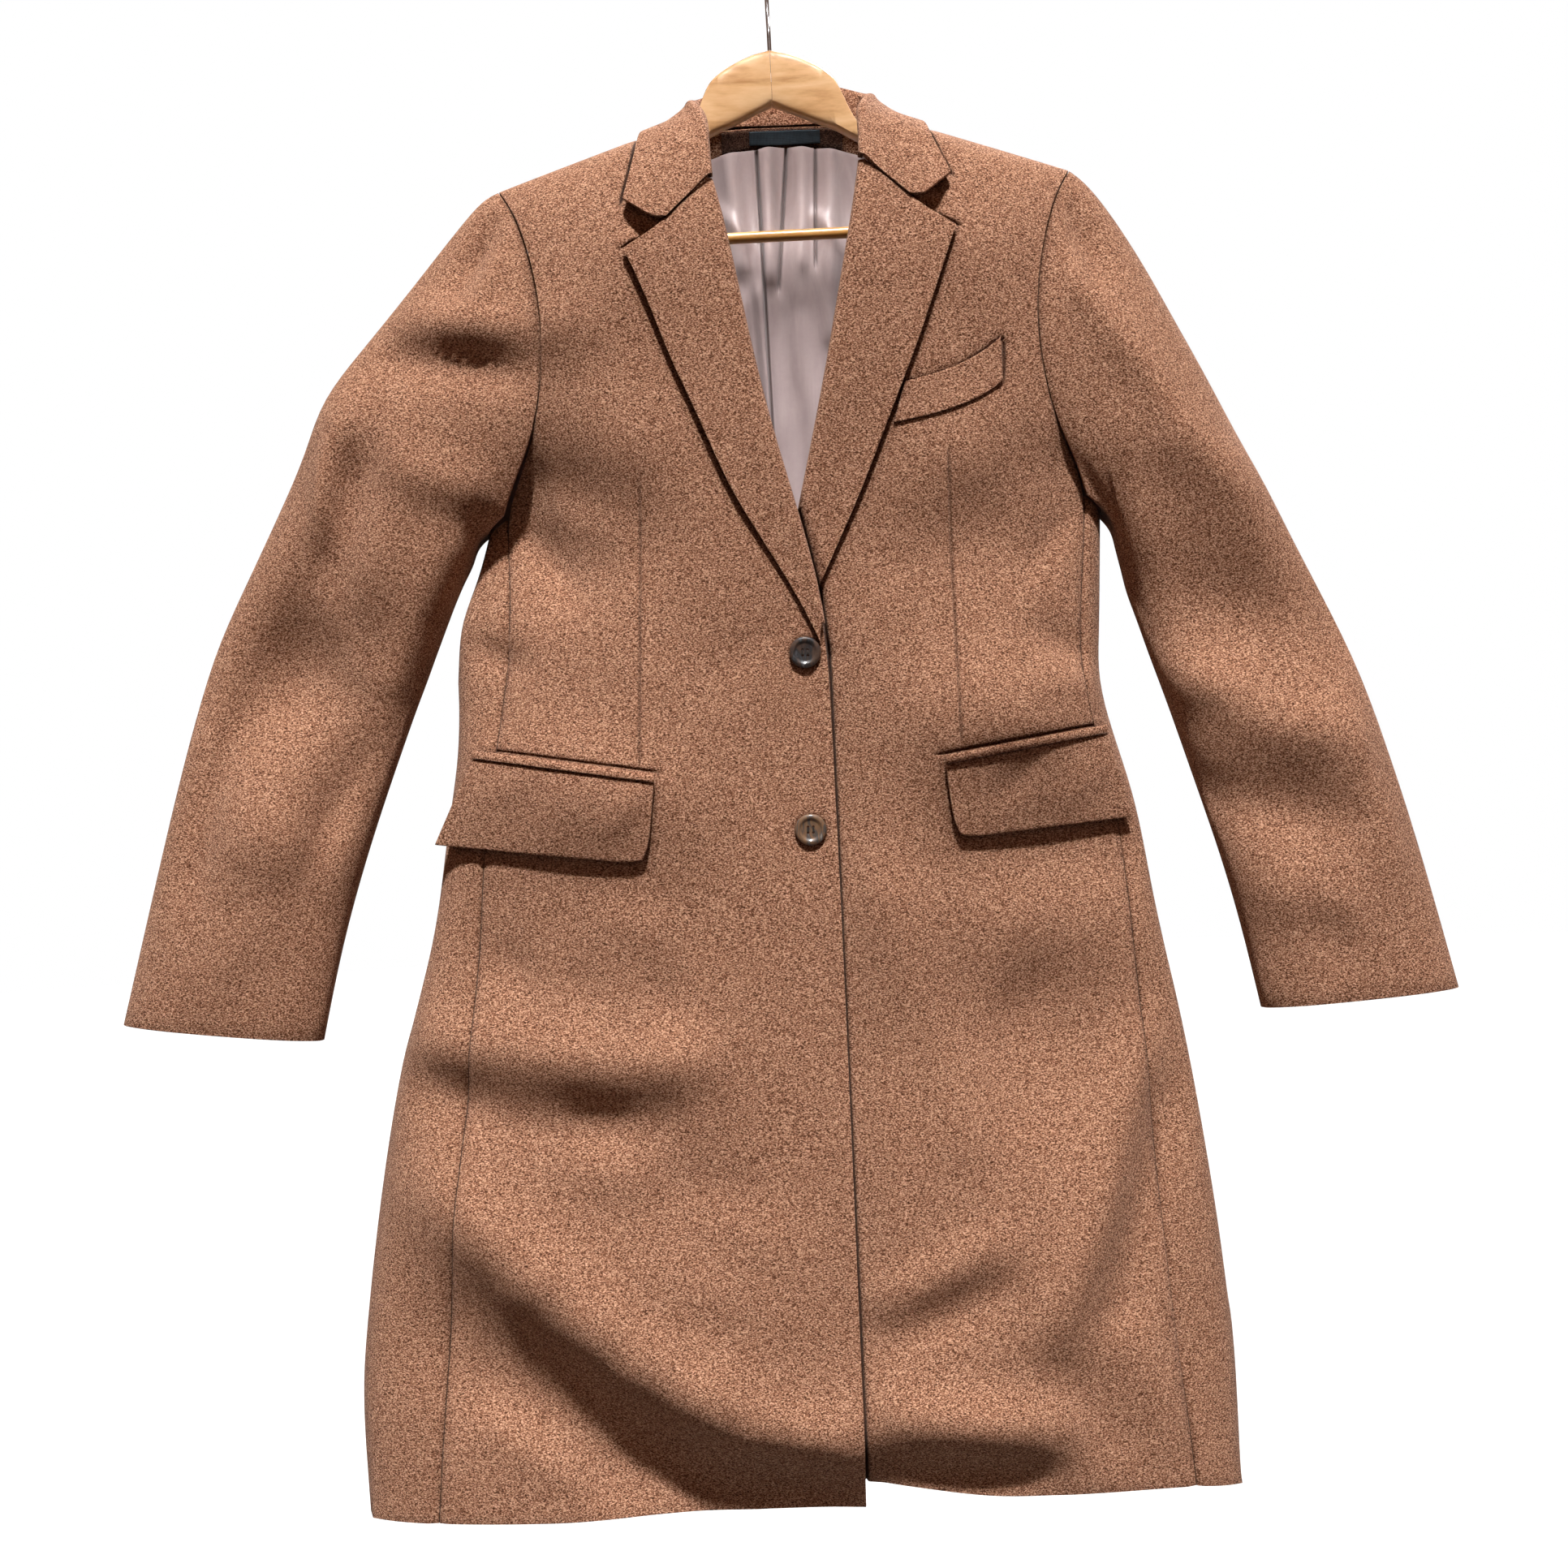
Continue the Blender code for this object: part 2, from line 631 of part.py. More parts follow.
def add_front(side, coat):
    """One front, from its edge and roll line to the side seam, armhole and shoulder."""
    depth = left_front_y if side == LEFT else front_y
    points, normals = [], []
    for height in SEAM_ROWS + ARMHOLE_ROWS:
        seam = SEAM / 2 if height <= SEAM_TOP else 0
        from_x = panel_edge_x(side, inner_height(height))
        to_x = edge_x(FRONT_SEAM, side, height) - side * seam
        line, out = [], []
        for column in range(FRONT_COLUMNS):
            share = column / (FRONT_COLUMNS - 1)
            x, h = mix(from_x, to_x, share), mix(inner_height(height), height, share)
            if side == LEFT:
                h += hem_lift(x, h)
            line.append(Vector((x, min(depth(x, h), -SEAM / 2), h)))
            ridge = height == TIP_HEIGHT
            out.append(shoulder_normal(side) if ridge else facing_out(depth, x, h, -1))
        points.append(line)
        normals.append(out)
    add_sheet(f"front_{column_of(side)}", points, normals, CLOTH, coat, "cashmere")


def side_angle(x, height):
    """Where a point of the body's section lies round its side fold."""
    return math.acos(min((abs(x) / half_width(x, height)) ** (ROUND_ACROSS / 2), 1.0))


def side_point(side, angle, height):
    """A point round the side fold: on the front above angle 0, on the back below it."""
    x = side * half_width(side, height) * math.cos(angle) ** (2 / ROUND_ACROSS)
    y = front_y(x, height) if angle > 0 else back_y(x, height)
    return Vector((x, y, height))


def side_grid(side):
    """The points and normals of a side panel, from its front seam round to its back seam."""
    points, normals = [], []
    for height in SEAM_ROWS:
        front_x = edge_x(FRONT_SEAM, side, height) + side * SEAM / 2
        back_x = edge_x(BACK_SEAM, side, height) + side * SEAM / 2
        first, last = side_angle(front_x, height), -side_angle(back_x, height)
        line, out = [], []
        for column in range(SIDE_COLUMNS):
            angle = mix(first, last, column / (SIDE_COLUMNS - 1))
            dip = SIDE_TOP_DIP * ease((height - SIDE_DIP_FROM) / (SEAM_TOP - SIDE_DIP_FROM))
            reach = first if angle > 0 else last
            h = height - dip * (1 - (angle / reach) ** 2)
            if side == LEFT and angle > 0:
                h += hem_lift(side_point(side, angle, h).x, h)
            line.append(side_point(side, angle, h))
            around = side_point(side, angle - ANGLE_STEP, h) - side_point(side, angle + ANGLE_STEP, h)
            up = side_point(side, angle, h + 1) - side_point(side, angle, h - 1)
            out.append(around.cross(up).normalized() * side)
        points.append(line)
        normals.append(out)
    return points, normals


def add_side(side, coat):
    """One side panel, folded flat at the coat's side."""
    points, normals = side_grid(side)
    add_sheet(f"side_panel_{column_of(side)}", points, normals, CLOTH, coat, "cashmere")


def back_neck(x):
    """The height of the back's neck edge."""
    return BACK_NECK_HEIGHT - BACK_NECK_DIP * (x / BACK_NECK_DIP_X) ** 2


def back_point(share, height):
    """The x and height of the back's grid at a share across, from -1 on the right to 1."""
    right, left = edge_x(BACK_SEAM, RIGHT, height), edge_x(BACK_SEAM, LEFT, height)
    seam = SEAM / 2 if height <= SEAM_TOP else 0
    x = mix(right + seam, left - seam, (share + 1) / 2)
    top_x = abs(share) * TIP_X
    top = shoulder_height(top_x) if top_x >= NECK_X - 0.1 else back_neck(top_x)
    turn = max(height - ROWS_TURN_FROM, 0) / (TIP_HEIGHT - ROWS_TURN_FROM)
    return x, height + (top - TIP_HEIGHT) * turn**2


def add_back(coat):
    """The back, in one piece from side seam to side seam and up to the neck."""
    points, normals = [], []
    tops = [-x for x in reversed(BACK_COLUMNS[1:])] + BACK_COLUMNS
    for height in SEAM_ROWS + ARMHOLE_ROWS:
        line, out = [], []
        for top_x in tops:
            x, h = back_point(top_x / TIP_X, height)
            line.append(Vector((x, max(back_y(x, h), SEAM / 2), h)))
            ridge = height == TIP_HEIGHT and abs(x) >= NECK_X - 0.1
            out.append(shoulder_normal(math.copysign(1, x)) if ridge else facing_out(back_y, x, h, 1))
        points.append(line)
        normals.append(out)
    add_sheet("back", points, normals, CLOTH, coat, "cashmere")


# Sleeves


def armhole(side):
    """The armhole from the shoulder tip down the front, under the arm and up the back.

    Gives its points, the body's normals there, and the index of the underarm."""
    points = [Vector((side * TIP_X, 0, TIP_HEIGHT))]
    normals = [shoulder_normal(side)]
    for height in reversed([SEAM_TOP] + ARMHOLE_ROWS[:-1]):
        x = edge_x(FRONT_SEAM, side, height)
        points.append(Vector((x, front_y(x, height), height)))
        normals.append(facing_out(front_y, x, height, -1))
    side_points, side_normals = side_grid(side)
    underarm = len(points) - 1 + SIDE_COLUMNS // 2
    points += side_points[-1][1:-1]
    normals += side_normals[-1][1:-1]
    for height in [SEAM_TOP] + ARMHOLE_ROWS[:-1]:
        x = edge_x(BACK_SEAM, side, height)
        points.append(Vector((x, back_y(x, height), height)))
        normals.append(facing_out(back_y, x, height, 1))
    return points, normals, underarm


def ring_angles(points, underarm):
    """The angle of each armhole point: 0 at the shoulder tip, half a turn under the arm."""
    lengths = [0.0]
    for here, there in zip(points, points[1:] + points[:1]):
        lengths.append(lengths[-1] + (there - here).length)
    half, whole = lengths[underarm], lengths[-1]
    angles = []
    for length in lengths[:-1]:
        turn = length / half if length <= half else 1 + (length - half) / (whole - half)
        angles.append(math.pi * turn)
    return angles


def rounded(value, power):
    """A sine or cosine drawn out to a rounded section."""
    return math.copysign(abs(value) ** (2 / power), value)


def sleeve_rings(side):
    """Rings of a sleeve from the armhole to the cuff, and their outward normals."""
    loop, loop_normals, underarm = armhole(side)
    angles = ring_angles(loop, underarm)
    count = len(loop)
    rings = [[]]
    for index, (point, normal) in enumerate(zip(loop, loop_normals)):
        along = (loop[(index + 1) % count] - loop[index - 1]).normalized()
        rings[0].append(point + normal.cross(along) * ARMHOLE_GAP * side)
    for number, row in enumerate(SLEEVE_LEFT if side == LEFT else SLEEVE_RIGHT):
        outer = Vector((side * row.outer_x, 0, row.outer_height))
        inner = Vector((side * row.inner_x, 0, row.inner_height))
        ring = []
        for point, normal, angle in zip(loop, loop_normals, angles):
            lower = (1 - math.cos(angle)) / 2
            merge = ease((number + 1) / mix(SLEEVE_MERGE, UNDERARM_MERGE, lower**2))
            carried = point + (outer - loop[0]).lerp(inner - loop[underarm], lower)
            carried += normal * SLEEVE_PUFF * ease((number + 1) / 2)
            swell = rounded(math.sin(angle), ROUND_SLEEVE)
            plain = (outer + inner) / 2 + (outer - inner) / 2 * rounded(math.cos(angle), ROUND_SLEEVE)
            plain.y = -swell * (row.front if swell > 0 else row.back)
            if swell > 0:
                plain.y -= swell * relief(SLEEVE_FOLDS, plain.x, plain.z)
            else:
                plain.y -= swell * relief(SLEEVE_FOLDS, plain.x, plain.z + SLEEVE_BACK_SHIFT)
            ring.append(carried.lerp(plain, merge))
        rings.append(ring)
    normals = []
    for number, ring in enumerate(rings):
        before, after = rings[max(number - 1, 0)], rings[min(number + 1, len(rings) - 1)]
        line = []
        for index in range(count):
            around = ring[(index + 1) % count] - ring[index - 1]
            line.append(around.cross(after[index] - before[index]).normalized() * side)
        normals.append(line)
    for index in range(count):
        agree = max(normals[0][index].dot(loop_normals[index]), 0.0)
        normals[0][index] = normals[0][index].lerp(loop_normals[index], agree).normalized()
    return rings, normals, underarm


def add_sleeve(side, coat):
    """A sleeve's upper piece, which wraps both edges, and its under piece at the back."""
    rings, normals, underarm = sleeve_rings(side)
    count = len(rings[0])
    fore_seam, elbow_seam = underarm, count - 3
    spans = {
        "upper": list(range(elbow_seam - count, fore_seam + 1)),
        "under": list(range(fore_seam, elbow_seam + 1)),
    }
    for piece, span in spans.items():
        points, out = [], []
        for ring, line in zip(rings, normals):
            row = [ring[index % count].copy() for index in span]
            row[0] += (row[1] - row[0]).normalized() * SEAM / 2
            row[-1] += (row[-2] - row[-1]).normalized() * SEAM / 2
            points.append(row)
            out.append([line[index % count] for index in span])
        add_sheet(f"sleeve_{piece}_{column_of(side)}", points, out, CLOTH, coat, "cashmere")


# Lapels and collar


def add_lapel(side, coat):
    """A lapel that turns round its front's edge at the roll line and lies on the front."""
    table = LAPEL_LEFT if side == LEFT else LAPEL_RIGHT
    depth = left_front_y if side == LEFT else front_y
    notch_x, notch_height = NOTCH[side]
    first = table[0]
    bend_x = notch_x - mix(first.roll_x, first.edge_x, NOTCH_SHARE)
    bend_height = notch_height - mix(first.roll_height, first.edge_height, NOTCH_SHARE)
    points = []
    for number, row in enumerate(table):
        flat = side == LEFT and row.roll_height < FLAT_BELOW
        spring = 0.0 if flat else LAPEL_SPRING
        radius = SEAM + TURNED if flat else ROLL_RADIUS
        roll = depth(row.roll_x + side * (SEAM + TURNED), row.roll_height)
        crest = roll - LIE - TURNED - spring
        line = [Vector((row.roll_x, roll + CLOTH, row.roll_height))]
        for step in range(ROLL_STEPS):
            turn = math.pi / 2 * step / ROLL_STEPS
            out_x = row.roll_x + side * radius * (1 - math.cos(turn))
            line.append(Vector((out_x, crest + radius * (1 - math.sin(turn)), row.roll_height)))
        from_x = row.roll_x + side * radius
        bend = max(1 - number / LAPEL_BEND_ROWS, 0.0)
        for column in range(LAPEL_COLUMNS):
            share = column / (LAPEL_COLUMNS - 1)
            kink = bend * min(share / NOTCH_SHARE, (1 - share) / (1 - NOTCH_SHARE))
            x = mix(from_x, row.edge_x, share) + bend_x * kink
            h = mix(row.roll_height, row.edge_height, share) + bend_height * kink
            lift = LIE + TURNED + spring * (1 - ease(share / LAPEL_SPRING_SHARE))
            line.append(Vector((x, depth(x, h) - lift, h)))
        points.append(line)
    normals = grid_normals(points, -side)
    add_sheet(f"lapel_{column_of(side)}", points, normals, TURNED, coat, "cashmere")


def shoulder_over(x, y):
    """The height of the shoulders' outer face over a point."""
    section = row_at(BODY, shoulder_height(x))
    depth = section.front if y < 0 else section.back
    depth *= power_arc(x / half_width(x, section.height), ROUND_ACROSS)
    return shoulder_height(x) - SHOULDER_REACH * (1 - power_arc(y / depth, ROUND_DOWN))


def body_face(point):
    """The body's outward direction near a point, and how far off its face the point lies."""
    x, y, height = point
    slope_x = (shoulder_over(x + NORMAL_STEP, y) - shoulder_over(x - NORMAL_STEP, y)) / (2 * NORMAL_STEP)
    slope_y = (shoulder_over(x, y + NORMAL_STEP) - shoulder_over(x, y - NORMAL_STEP)) / (2 * NORMAL_STEP)
    if abs(slope_y) < SHOULDER_STEEP:
        normal = Vector((-slope_x, -slope_y, 1)).normalized()
        return normal, (height - shoulder_over(x, y)) * normal.z
    towards = -1 if y < 0 else 1
    depth = front_y if y < 0 else back_y
    normal = facing_out(depth, x, height, towards)
    return normal, (y - depth(x, height)) * normal.y


def clear_of_body(point, gap):
    """The point, moved out to lie at least a gap off the fronts, the shoulders or the back."""
    moved = point.copy()
    for _ in range(CLEAR_TRIES):
        normal, away = body_face(moved)
        if away < gap:
            moved += normal * (gap - away)
    return moved


def collar_edge(side, station):
    """A point of the collar's outer edge: on the front, over the shoulder or on the back."""
    row = row_at(COLLAR, station)
    raised = 1 - ease(station / COLLAR_LIFT_END) if side == LEFT else 0.0
    x = side * (row.edge_x + COLLAR_LEFT_WIDE * raised)
    height = row.edge_height + COLLAR_LEFT_LIFT * raised
    if station <= COLLAR_OVER_FROM:
        return Vector((x, front_y(x, height), height))
    if station >= COLLAR_OVER_TO:
        return Vector((x, back_y(x, height), height))
    share = (station - COLLAR_OVER_FROM) / (COLLAR_OVER_TO - COLLAR_OVER_FROM)
    y = mix(collar_edge(side, COLLAR_OVER_FROM).y, collar_edge(side, COLLAR_OVER_TO).y, share)
    return Vector((x, y, shoulder_over(x, y)))


def collar_frame(side, station):
    """The collar's neck seam, fold centre, fold directions and outer edge at a station."""
    row = row_at(COLLAR, station)
    raised = 1 - ease(station / COLLAR_LIFT_END) if side == LEFT else 0.0
    wide, lift = COLLAR_LEFT_FOLD * raised, COLLAR_LEFT_LIFT * raised
    base = Vector((side * (row.base_x + wide), 0, row.base_height + lift + SEAM))
    base.y = max(back_y(base.x, base.z), SEAM)
    if station < COLLAR_UPRIGHT:
        base.y = front_y(base.x, base.z) + CLOTH
    fold = Vector((side * (row.fold_x + wide), row.fold_y, row.fold_height + lift))
    turn = math.pi * station / COLLAR[-1].station
    over = Vector((side * math.sin(turn), -math.cos(turn), 0))
    lean = 1 - ease(station / COLLAR_UPRIGHT)
    apex = Vector((-side * lean, 0, 1 - COLLAR_LEAN * lean))
    apex = (apex - over * apex.dot(over)).normalized()
    return CollarFrame(base, fold - apex * COLLAR_RADIUS, apex, over, collar_edge(side, station))


def collar_row(side, station):
    """The points of the collar's visible face at a station, from its neck seam over to its edge."""
    frame, gorge = collar_frame(side, station), collar_frame(side, 0)
    first = mix(math.pi / 2, 0, ease(station / COLLAR_OVER_FROM))
    fold = []
    for column in range(COLLAR_FOLD_COLUMNS + 1):
        turn = mix(first, math.pi, column / COLLAR_FOLD_COLUMNS)
        round_fold = frame.apex * math.sin(turn) - frame.over * math.cos(turn)
        fold.append(frame.centre + round_fold * COLLAR_RADIUS)
    line = [frame.base.lerp(fold[0], column / COLLAR_STAND_COLUMNS) for column in range(COLLAR_STAND_COLUMNS)]
    line += fold[:-1]
    straight = (gorge.centre + gorge.over * COLLAR_RADIUS).lerp(gorge.edge, NOTCH_SHARE)
    notch_x, notch_height = NOTCH[side]
    bend = max(1 - station / NOTCH_REACH, 0.0)
    for column in range(COLLAR_FALL_COLUMNS + 1):
        share = column / COLLAR_FALL_COLUMNS
        kink = bend * min(share / NOTCH_SHARE, (1 - share) / (1 - NOTCH_SHARE))
        point = fold[-1].lerp(frame.edge, share)
        point.x += kink * (notch_x - straight.x)
        point.z += kink * (notch_height + GORGE_GAP - straight.z)
        line.append(clear_of_body(point, COLLAR_REACH))
    return line


def add_collar(coat):
    """The collar in one strip from gorge to gorge: its stand, its fold and its fall."""
    steps = COLLAR_STEPS * int(COLLAR[-1].station)
    points = [collar_row(RIGHT, step / COLLAR_STEPS) for step in range(steps + 1)]
    points += [collar_row(LEFT, step / COLLAR_STEPS) for step in range(steps - 1, -1, -1)]
    add_sheet("collar", points, grid_normals(points, -1), TURNED, coat, "cashmere")


# Pockets


def flap_y(x, height):
    """The depth under a flap: the body's own, run straight on past its rounded side."""
    side = math.copysign(1, x)
    limit = FLAP_STRAIGHT * half_width(x, height)
    if abs(x) <= limit:
        return front_y(x, height)
    end = front_y(side * limit, height)
    slope = (end - front_y(side * (limit - FLAP_SLOPE_STEP), height)) / FLAP_SLOPE_STEP
    return end + slope * (abs(x) - limit)


def flap_point(side, share, drop):
    """The x and height of a flap, a share along it and a drop below its top edge."""
    flap = FLAPS[side]
    top = [mix(a, b, share) for a, b in zip(flap.top_inner, flap.top_outer)]
    bottom = [mix(a, b, share) for a, b in zip(flap.bottom_inner, flap.bottom_outer)]
    return mix(top[0], bottom[0], drop), mix(top[1], bottom[1], drop)


def add_flap(side, coat):
    """A pocket flap that lies on the front and the side panel."""
    points = []
    for row in range(FLAP_ROWS):
        drop = row / (FLAP_ROWS - 1)
        line = []
        for column in range(FLAP_COLUMNS):
            x, h = flap_point(side, column / (FLAP_COLUMNS - 1), drop)
            if column == 0 and row == FLAP_ROWS - 1:
                x += side * FLAP_CORNER
                h += FLAP_CORNER
            line.append(Vector((x, flap_y(x, h) - LIE - TURNED - FLAP_STAND * drop, h)))
        points.append(line)
    normals = grid_normals(points, -side)
    add_sheet(f"pocket_flap_{column_of(side)}", points, normals, TURNED, coat, "cashmere")


def add_jet(side, coat):
    """The piped upper edge of a flap pocket."""
    points = []
    for row in range(3):
        line = []
        for column in range(FLAP_COLUMNS):
            x, h = flap_point(side, column / (FLAP_COLUMNS - 1), 0.0)
            h += SEAM + JET_HEIGHT * row / 2
            bulge = JET_ROUND if row == 1 else 0.0
            line.append(Vector((x, flap_y(x, h) - LIE - JET_THICK - bulge, h)))
        points.append(line)
    normals = grid_normals(points, side)
    add_sheet(f"pocket_jet_{column_of(side)}", points, normals, JET_THICK, coat, "cashmere")


def through_three(points, share):
    """A point on the curve through three points."""
    first, middle, last = (Vector(point) for point in points)
    pull = middle * 2 - (first + last) / 2
    return first * (1 - share) ** 2 + pull * 2 * share * (1 - share) + last * share**2


def add_welt(coat):
    """The breast pocket's welt, from the lapel's edge outwards."""
    points = []
    for row in range(WELT_ROWS):
        rise = row / (WELT_ROWS - 1)
        line = []
        for column in range(WELT_COLUMNS):
            share = column / (WELT_COLUMNS - 1)
            x, h = through_three(WELT_BOTTOM, share).lerp(through_three(WELT_TOP, share), rise)
            line.append(Vector((x, left_front_y(x, h) - LIE - WELT_THICK, h)))
        points.append(line)
    add_sheet("breast_welt", points, grid_normals(points, 1), WELT_THICK, coat, "cashmere")


# Lining, neck facing and label


def lining_top(x):
    """The height of the lining's top edge, which falls away from the middle."""
    return LINING_TOP - LINING_FALL * x * x


def inside_back(x, height, gap):
    """A point a gap inside the back's inner face."""
    normal = facing_out(back_y, x, height, 1)
    return Vector((x, back_y(x, height), height)) - normal * (CLOTH + gap)


def add_lining(coat):
    """The back lining with its pleats, which hangs free from under the facing to above the hem."""
    points, normals = [], []
    widest = LINING_X[-1]
    for height in LINING_ROWS:
        line, out = [], []
        for across in LINING_X:
            rise = ease((height - ROWS_TURN_FROM) / (LINING_TOP - ROWS_TURN_FROM))
            outer = ease((abs(across) - LINING_STRAIGHT_X) / (widest - LINING_STRAIGHT_X))
            x = across * mix(1, LINING_NARROW, rise * outer)
            h = height + (lining_top(x) - LINING_TOP) * rise
            hang = mix(LINING_HANG, LIE, ease((height - LINING_FREE) / (LINING_TOP - LINING_FREE)))
            normal = facing_out(back_y, x, h, 1)
            plain = Vector((x, fullness(x, h) * row_at(BODY, h).back, h))
            line.append(plain - normal * (CLOTH + hang + SILK + relief(LINING_FOLDS, x, h)))
            out.append(-normal)
        points.append(line)
        normals.append(out)
    add_sheet("back_lining", points, normals, SILK, coat, "satin")


def add_strip(name, xs, bottom, top, gap, thickness, coat, finish_name):
    """A strip inside the back, from the height that bottom gives to a distance under the neck edge."""
    points, normals = [], []
    for row in range(3):
        heights = [mix(bottom(x), back_neck(x) - top, row / 2) for x in xs]
        points.append([inside_back(x, h, gap) for x, h in zip(xs, heights)])
        normals.append([facing_out(back_y, x, h, 1) for x, h in zip(xs, heights)])
    add_sheet(name, points, normals, thickness, coat, finish_name)


def add_facing(coat):
    """The strip of coat cloth between the lining and the collar."""
    xs = [FACING_HALF * (2 * column / FACING_COLUMNS - 1) for column in range(FACING_COLUMNS + 1)]
    add_strip(
        "neck_facing", xs, lambda x: lining_top(x) + FACING_GAP, FACING_GAP, FACING_GAP, FACING_THICK, coat,
        "cashmere",
    )


def add_label(coat):
    """The bare label on the neck facing."""
    xs = [mix(LABEL_FROM, LABEL_TO, column / LABEL_COLUMNS) for column in range(LABEL_COLUMNS + 1)]
    gap = FACING_GAP + FACING_THICK + SEAM
    add_strip("label", xs, lambda x: LABEL_BOTTOM, LABEL_DROP, gap, LABEL_THICK, coat, "woven_label")


# Buttons and hanger


def hidden_cutter(name, bm, parent):
    """A cutting shape, kept out of the model."""
    cutter = place(name, bm, parent, "steel")
    cutter.hide_render = True
    cutter.display_type = "WIRE"
    return cutter


def cut(thing, cutter):
    """Cuts a shape out of a thing."""
    modifier = thing.modifiers.new("cut", "BOOLEAN")
    modifier.operation = "DIFFERENCE"
    modifier.solver = "EXACT"
    modifier.object = cutter


def facing_front(bm, x, y, height):
    """Turns a shape made along +Z to face the front, and sets it in its place."""
    turn = Vector((0, 0, 1)).rotation_difference(Vector((0, -1, 0))).to_matrix()
    bmesh.ops.rotate(bm, cent=(0, 0, 0), matrix=turn, verts=bm.verts)
    bmesh.ops.translate(bm, vec=(x, y, height), verts=bm.verts)


def add_button(name, x, height, coat):
    """A turned four-hole button on its thread shank."""
    y = front_y(x, height)
    bm = bmesh.new()
    line = [bm.verts.new((radius, 0, out)) for radius, out in BUTTON_PROFILE]
    edges = [bm.edges.new(pair) for pair in zip(line, line[1:])]
    bmesh.ops.spin(
        bm, geom=line + edges, cent=(0, 0, 0), axis=(0, 0, 1), angle=math.tau,
        steps=BUTTON_SEGMENTS, use_merge=True,
    )
    bmesh.ops.remove_doubles(bm, verts=bm.verts, dist=0.001)
    facing_front(bm, x, y, height)
    button = place(name, bm, coat, "horn")
    bm = bmesh.new()
    for hole in range(BUTTON_HOLES):
        angle = BUTTON_TURN + math.tau * hole / BUTTON_HOLES
        made = bmesh.ops.create_cone(
            bm, cap_ends=True, segments=8, radius1=BUTTON_HOLE_RADIUS, radius2=BUTTON_HOLE_RADIUS, depth=8,
        )
        offset = (BUTTON_HOLE_RING * math.cos(angle), BUTTON_HOLE_RING * math.sin(angle), 4)
        bmesh.ops.translate(bm, vec=offset, verts=made["verts"])
    facing_front(bm, x, y, height)
    cut(button, hidden_cutter(f"{name}_holes", bm, coat))


def arm_ring(row, side):
    """The chamfered section of a hanger arm."""
    chamfer = min(ARM_CHAMFER, row.half * 0.6, (row.top - row.bottom) * 0.3)
    inner = row.half - chamfer
    corners = [
        (-row.half, row.bottom + chamfer), (-inner, row.bottom), (inner, row.bottom),
        (row.half, row.bottom + chamfer), (row.half, row.top - chamfer), (inner, row.top),
        (-inner, row.top), (-row.half, row.top - chamfer),
    ]
    return [Vector((side * row.x, y, height)) for y, height in corners]


def add_arm(side, hanger):
    """One half of the hanger's wood, with the bore for the hook."""
    bm = bmesh.new()
    rings = [[bm.verts.new(point) for point in arm_ring(row, side)] for row in ARM]
    count = len(rings[0])
    for first, last in zip(rings, rings[1:]):
        for index in range(count):
            after = (index + 1) % count
            bm.faces.new((first[index], first[after], last[after], last[index]))
    bm.faces.new(rings[0])
    bm.faces.new(rings[-1])
    arm = place(f"hanger_arm_{column_of(side)}", bm, hanger, "wood")
    bm = bmesh.new()
    bmesh.ops.create_cone(
        bm, cap_ends=True, segments=12, radius1=BORE_RADIUS, radius2=BORE_RADIUS, depth=40,
    )
    bmesh.ops.translate(bm, vec=(0, 0, BORE_FOOT + 20), verts=bm.verts)
    cut(arm, hidden_cutter(f"hook_bore_{column_of(side)}", bm, hanger))


def add_bar(hanger):
    """The round bar between the feet of the two arms."""
    foot = next(row for row in ARM if row.bottom < BAR_HEIGHT)
    bm = bmesh.new()
    bmesh.ops.create_cone(
        bm, cap_ends=True, segments=BAR_SEGMENTS, radius1=BAR_RADIUS, radius2=BAR_RADIUS,
        depth=2 * (foot.x - 0.4 - SEAM),
    )
    turn = Vector((0, 0, 1)).rotation_difference(Vector((1, 0, 0))).to_matrix()
    bmesh.ops.rotate(bm, cent=(0, 0, 0), matrix=turn, verts=bm.verts)
    bmesh.ops.translate(bm, vec=(0, 0, BAR_HEIGHT), verts=bm.verts)
    place("trouser_bar", bm, hanger, "wood")


def hook_path():
    """The wire's centre line: up its stem, round the back and over the top to its open end."""
    end = Vector((0, HOOK_RADIUS * math.cos(HOOK_FROM), HOOK_CENTRE + HOOK_RADIUS * math.sin(HOOK_FROM)))
    rise = end.y / math.tan(-HOOK_FROM)
    pull = Vector((0, 0, end.z - rise))
    start = Vector((0, 0, STEM_TOP))
    path = [Vector((0, 0, STEM_FOOT)), start]
    for step in range(1, 4):
        share = step / 4
        path.append(start * (1 - share) ** 2 + pull * 2 * share * (1 - share) + end * share**2)
    for step in range(HOOK_STEPS + 1):
        angle = mix(HOOK_FROM, HOOK_TO, step / HOOK_STEPS)
        path.append(Vector((0, HOOK_RADIUS * math.cos(angle), HOOK_CENTRE + HOOK_RADIUS * math.sin(angle))))
    return path


def add_hook(hanger):
    """The bent wire that hangs on a rail."""
    curve = bpy.data.curves.new("hook", "CURVE")
    curve.dimensions = "3D"
    curve.bevel_depth = WIRE_RADIUS * MM
    curve.bevel_resolution = 2
    curve.use_fill_caps = True
    spline = curve.splines.new("POLY")
    path = hook_path()
    spline.points.add(len(path) - 1)
    for point, at in zip(spline.points, path):
        point.co = (*(at * MM), 1)
    curve.materials.append(finish("steel"))
    hook = bpy.data.objects.new("hook", curve)
    bpy.context.scene.collection.objects.link(hook)
    hook.parent = hanger


def add_place(name, at, tilt=0.0, parent=None):
    """An empty that places the pieces under it."""
    empty = bpy.data.objects.new(name, None)
    empty.location = at * MM
    empty.rotation_euler = (0, tilt, 0)
    empty.parent = parent
    bpy.context.scene.collection.objects.link(empty)
    return empty


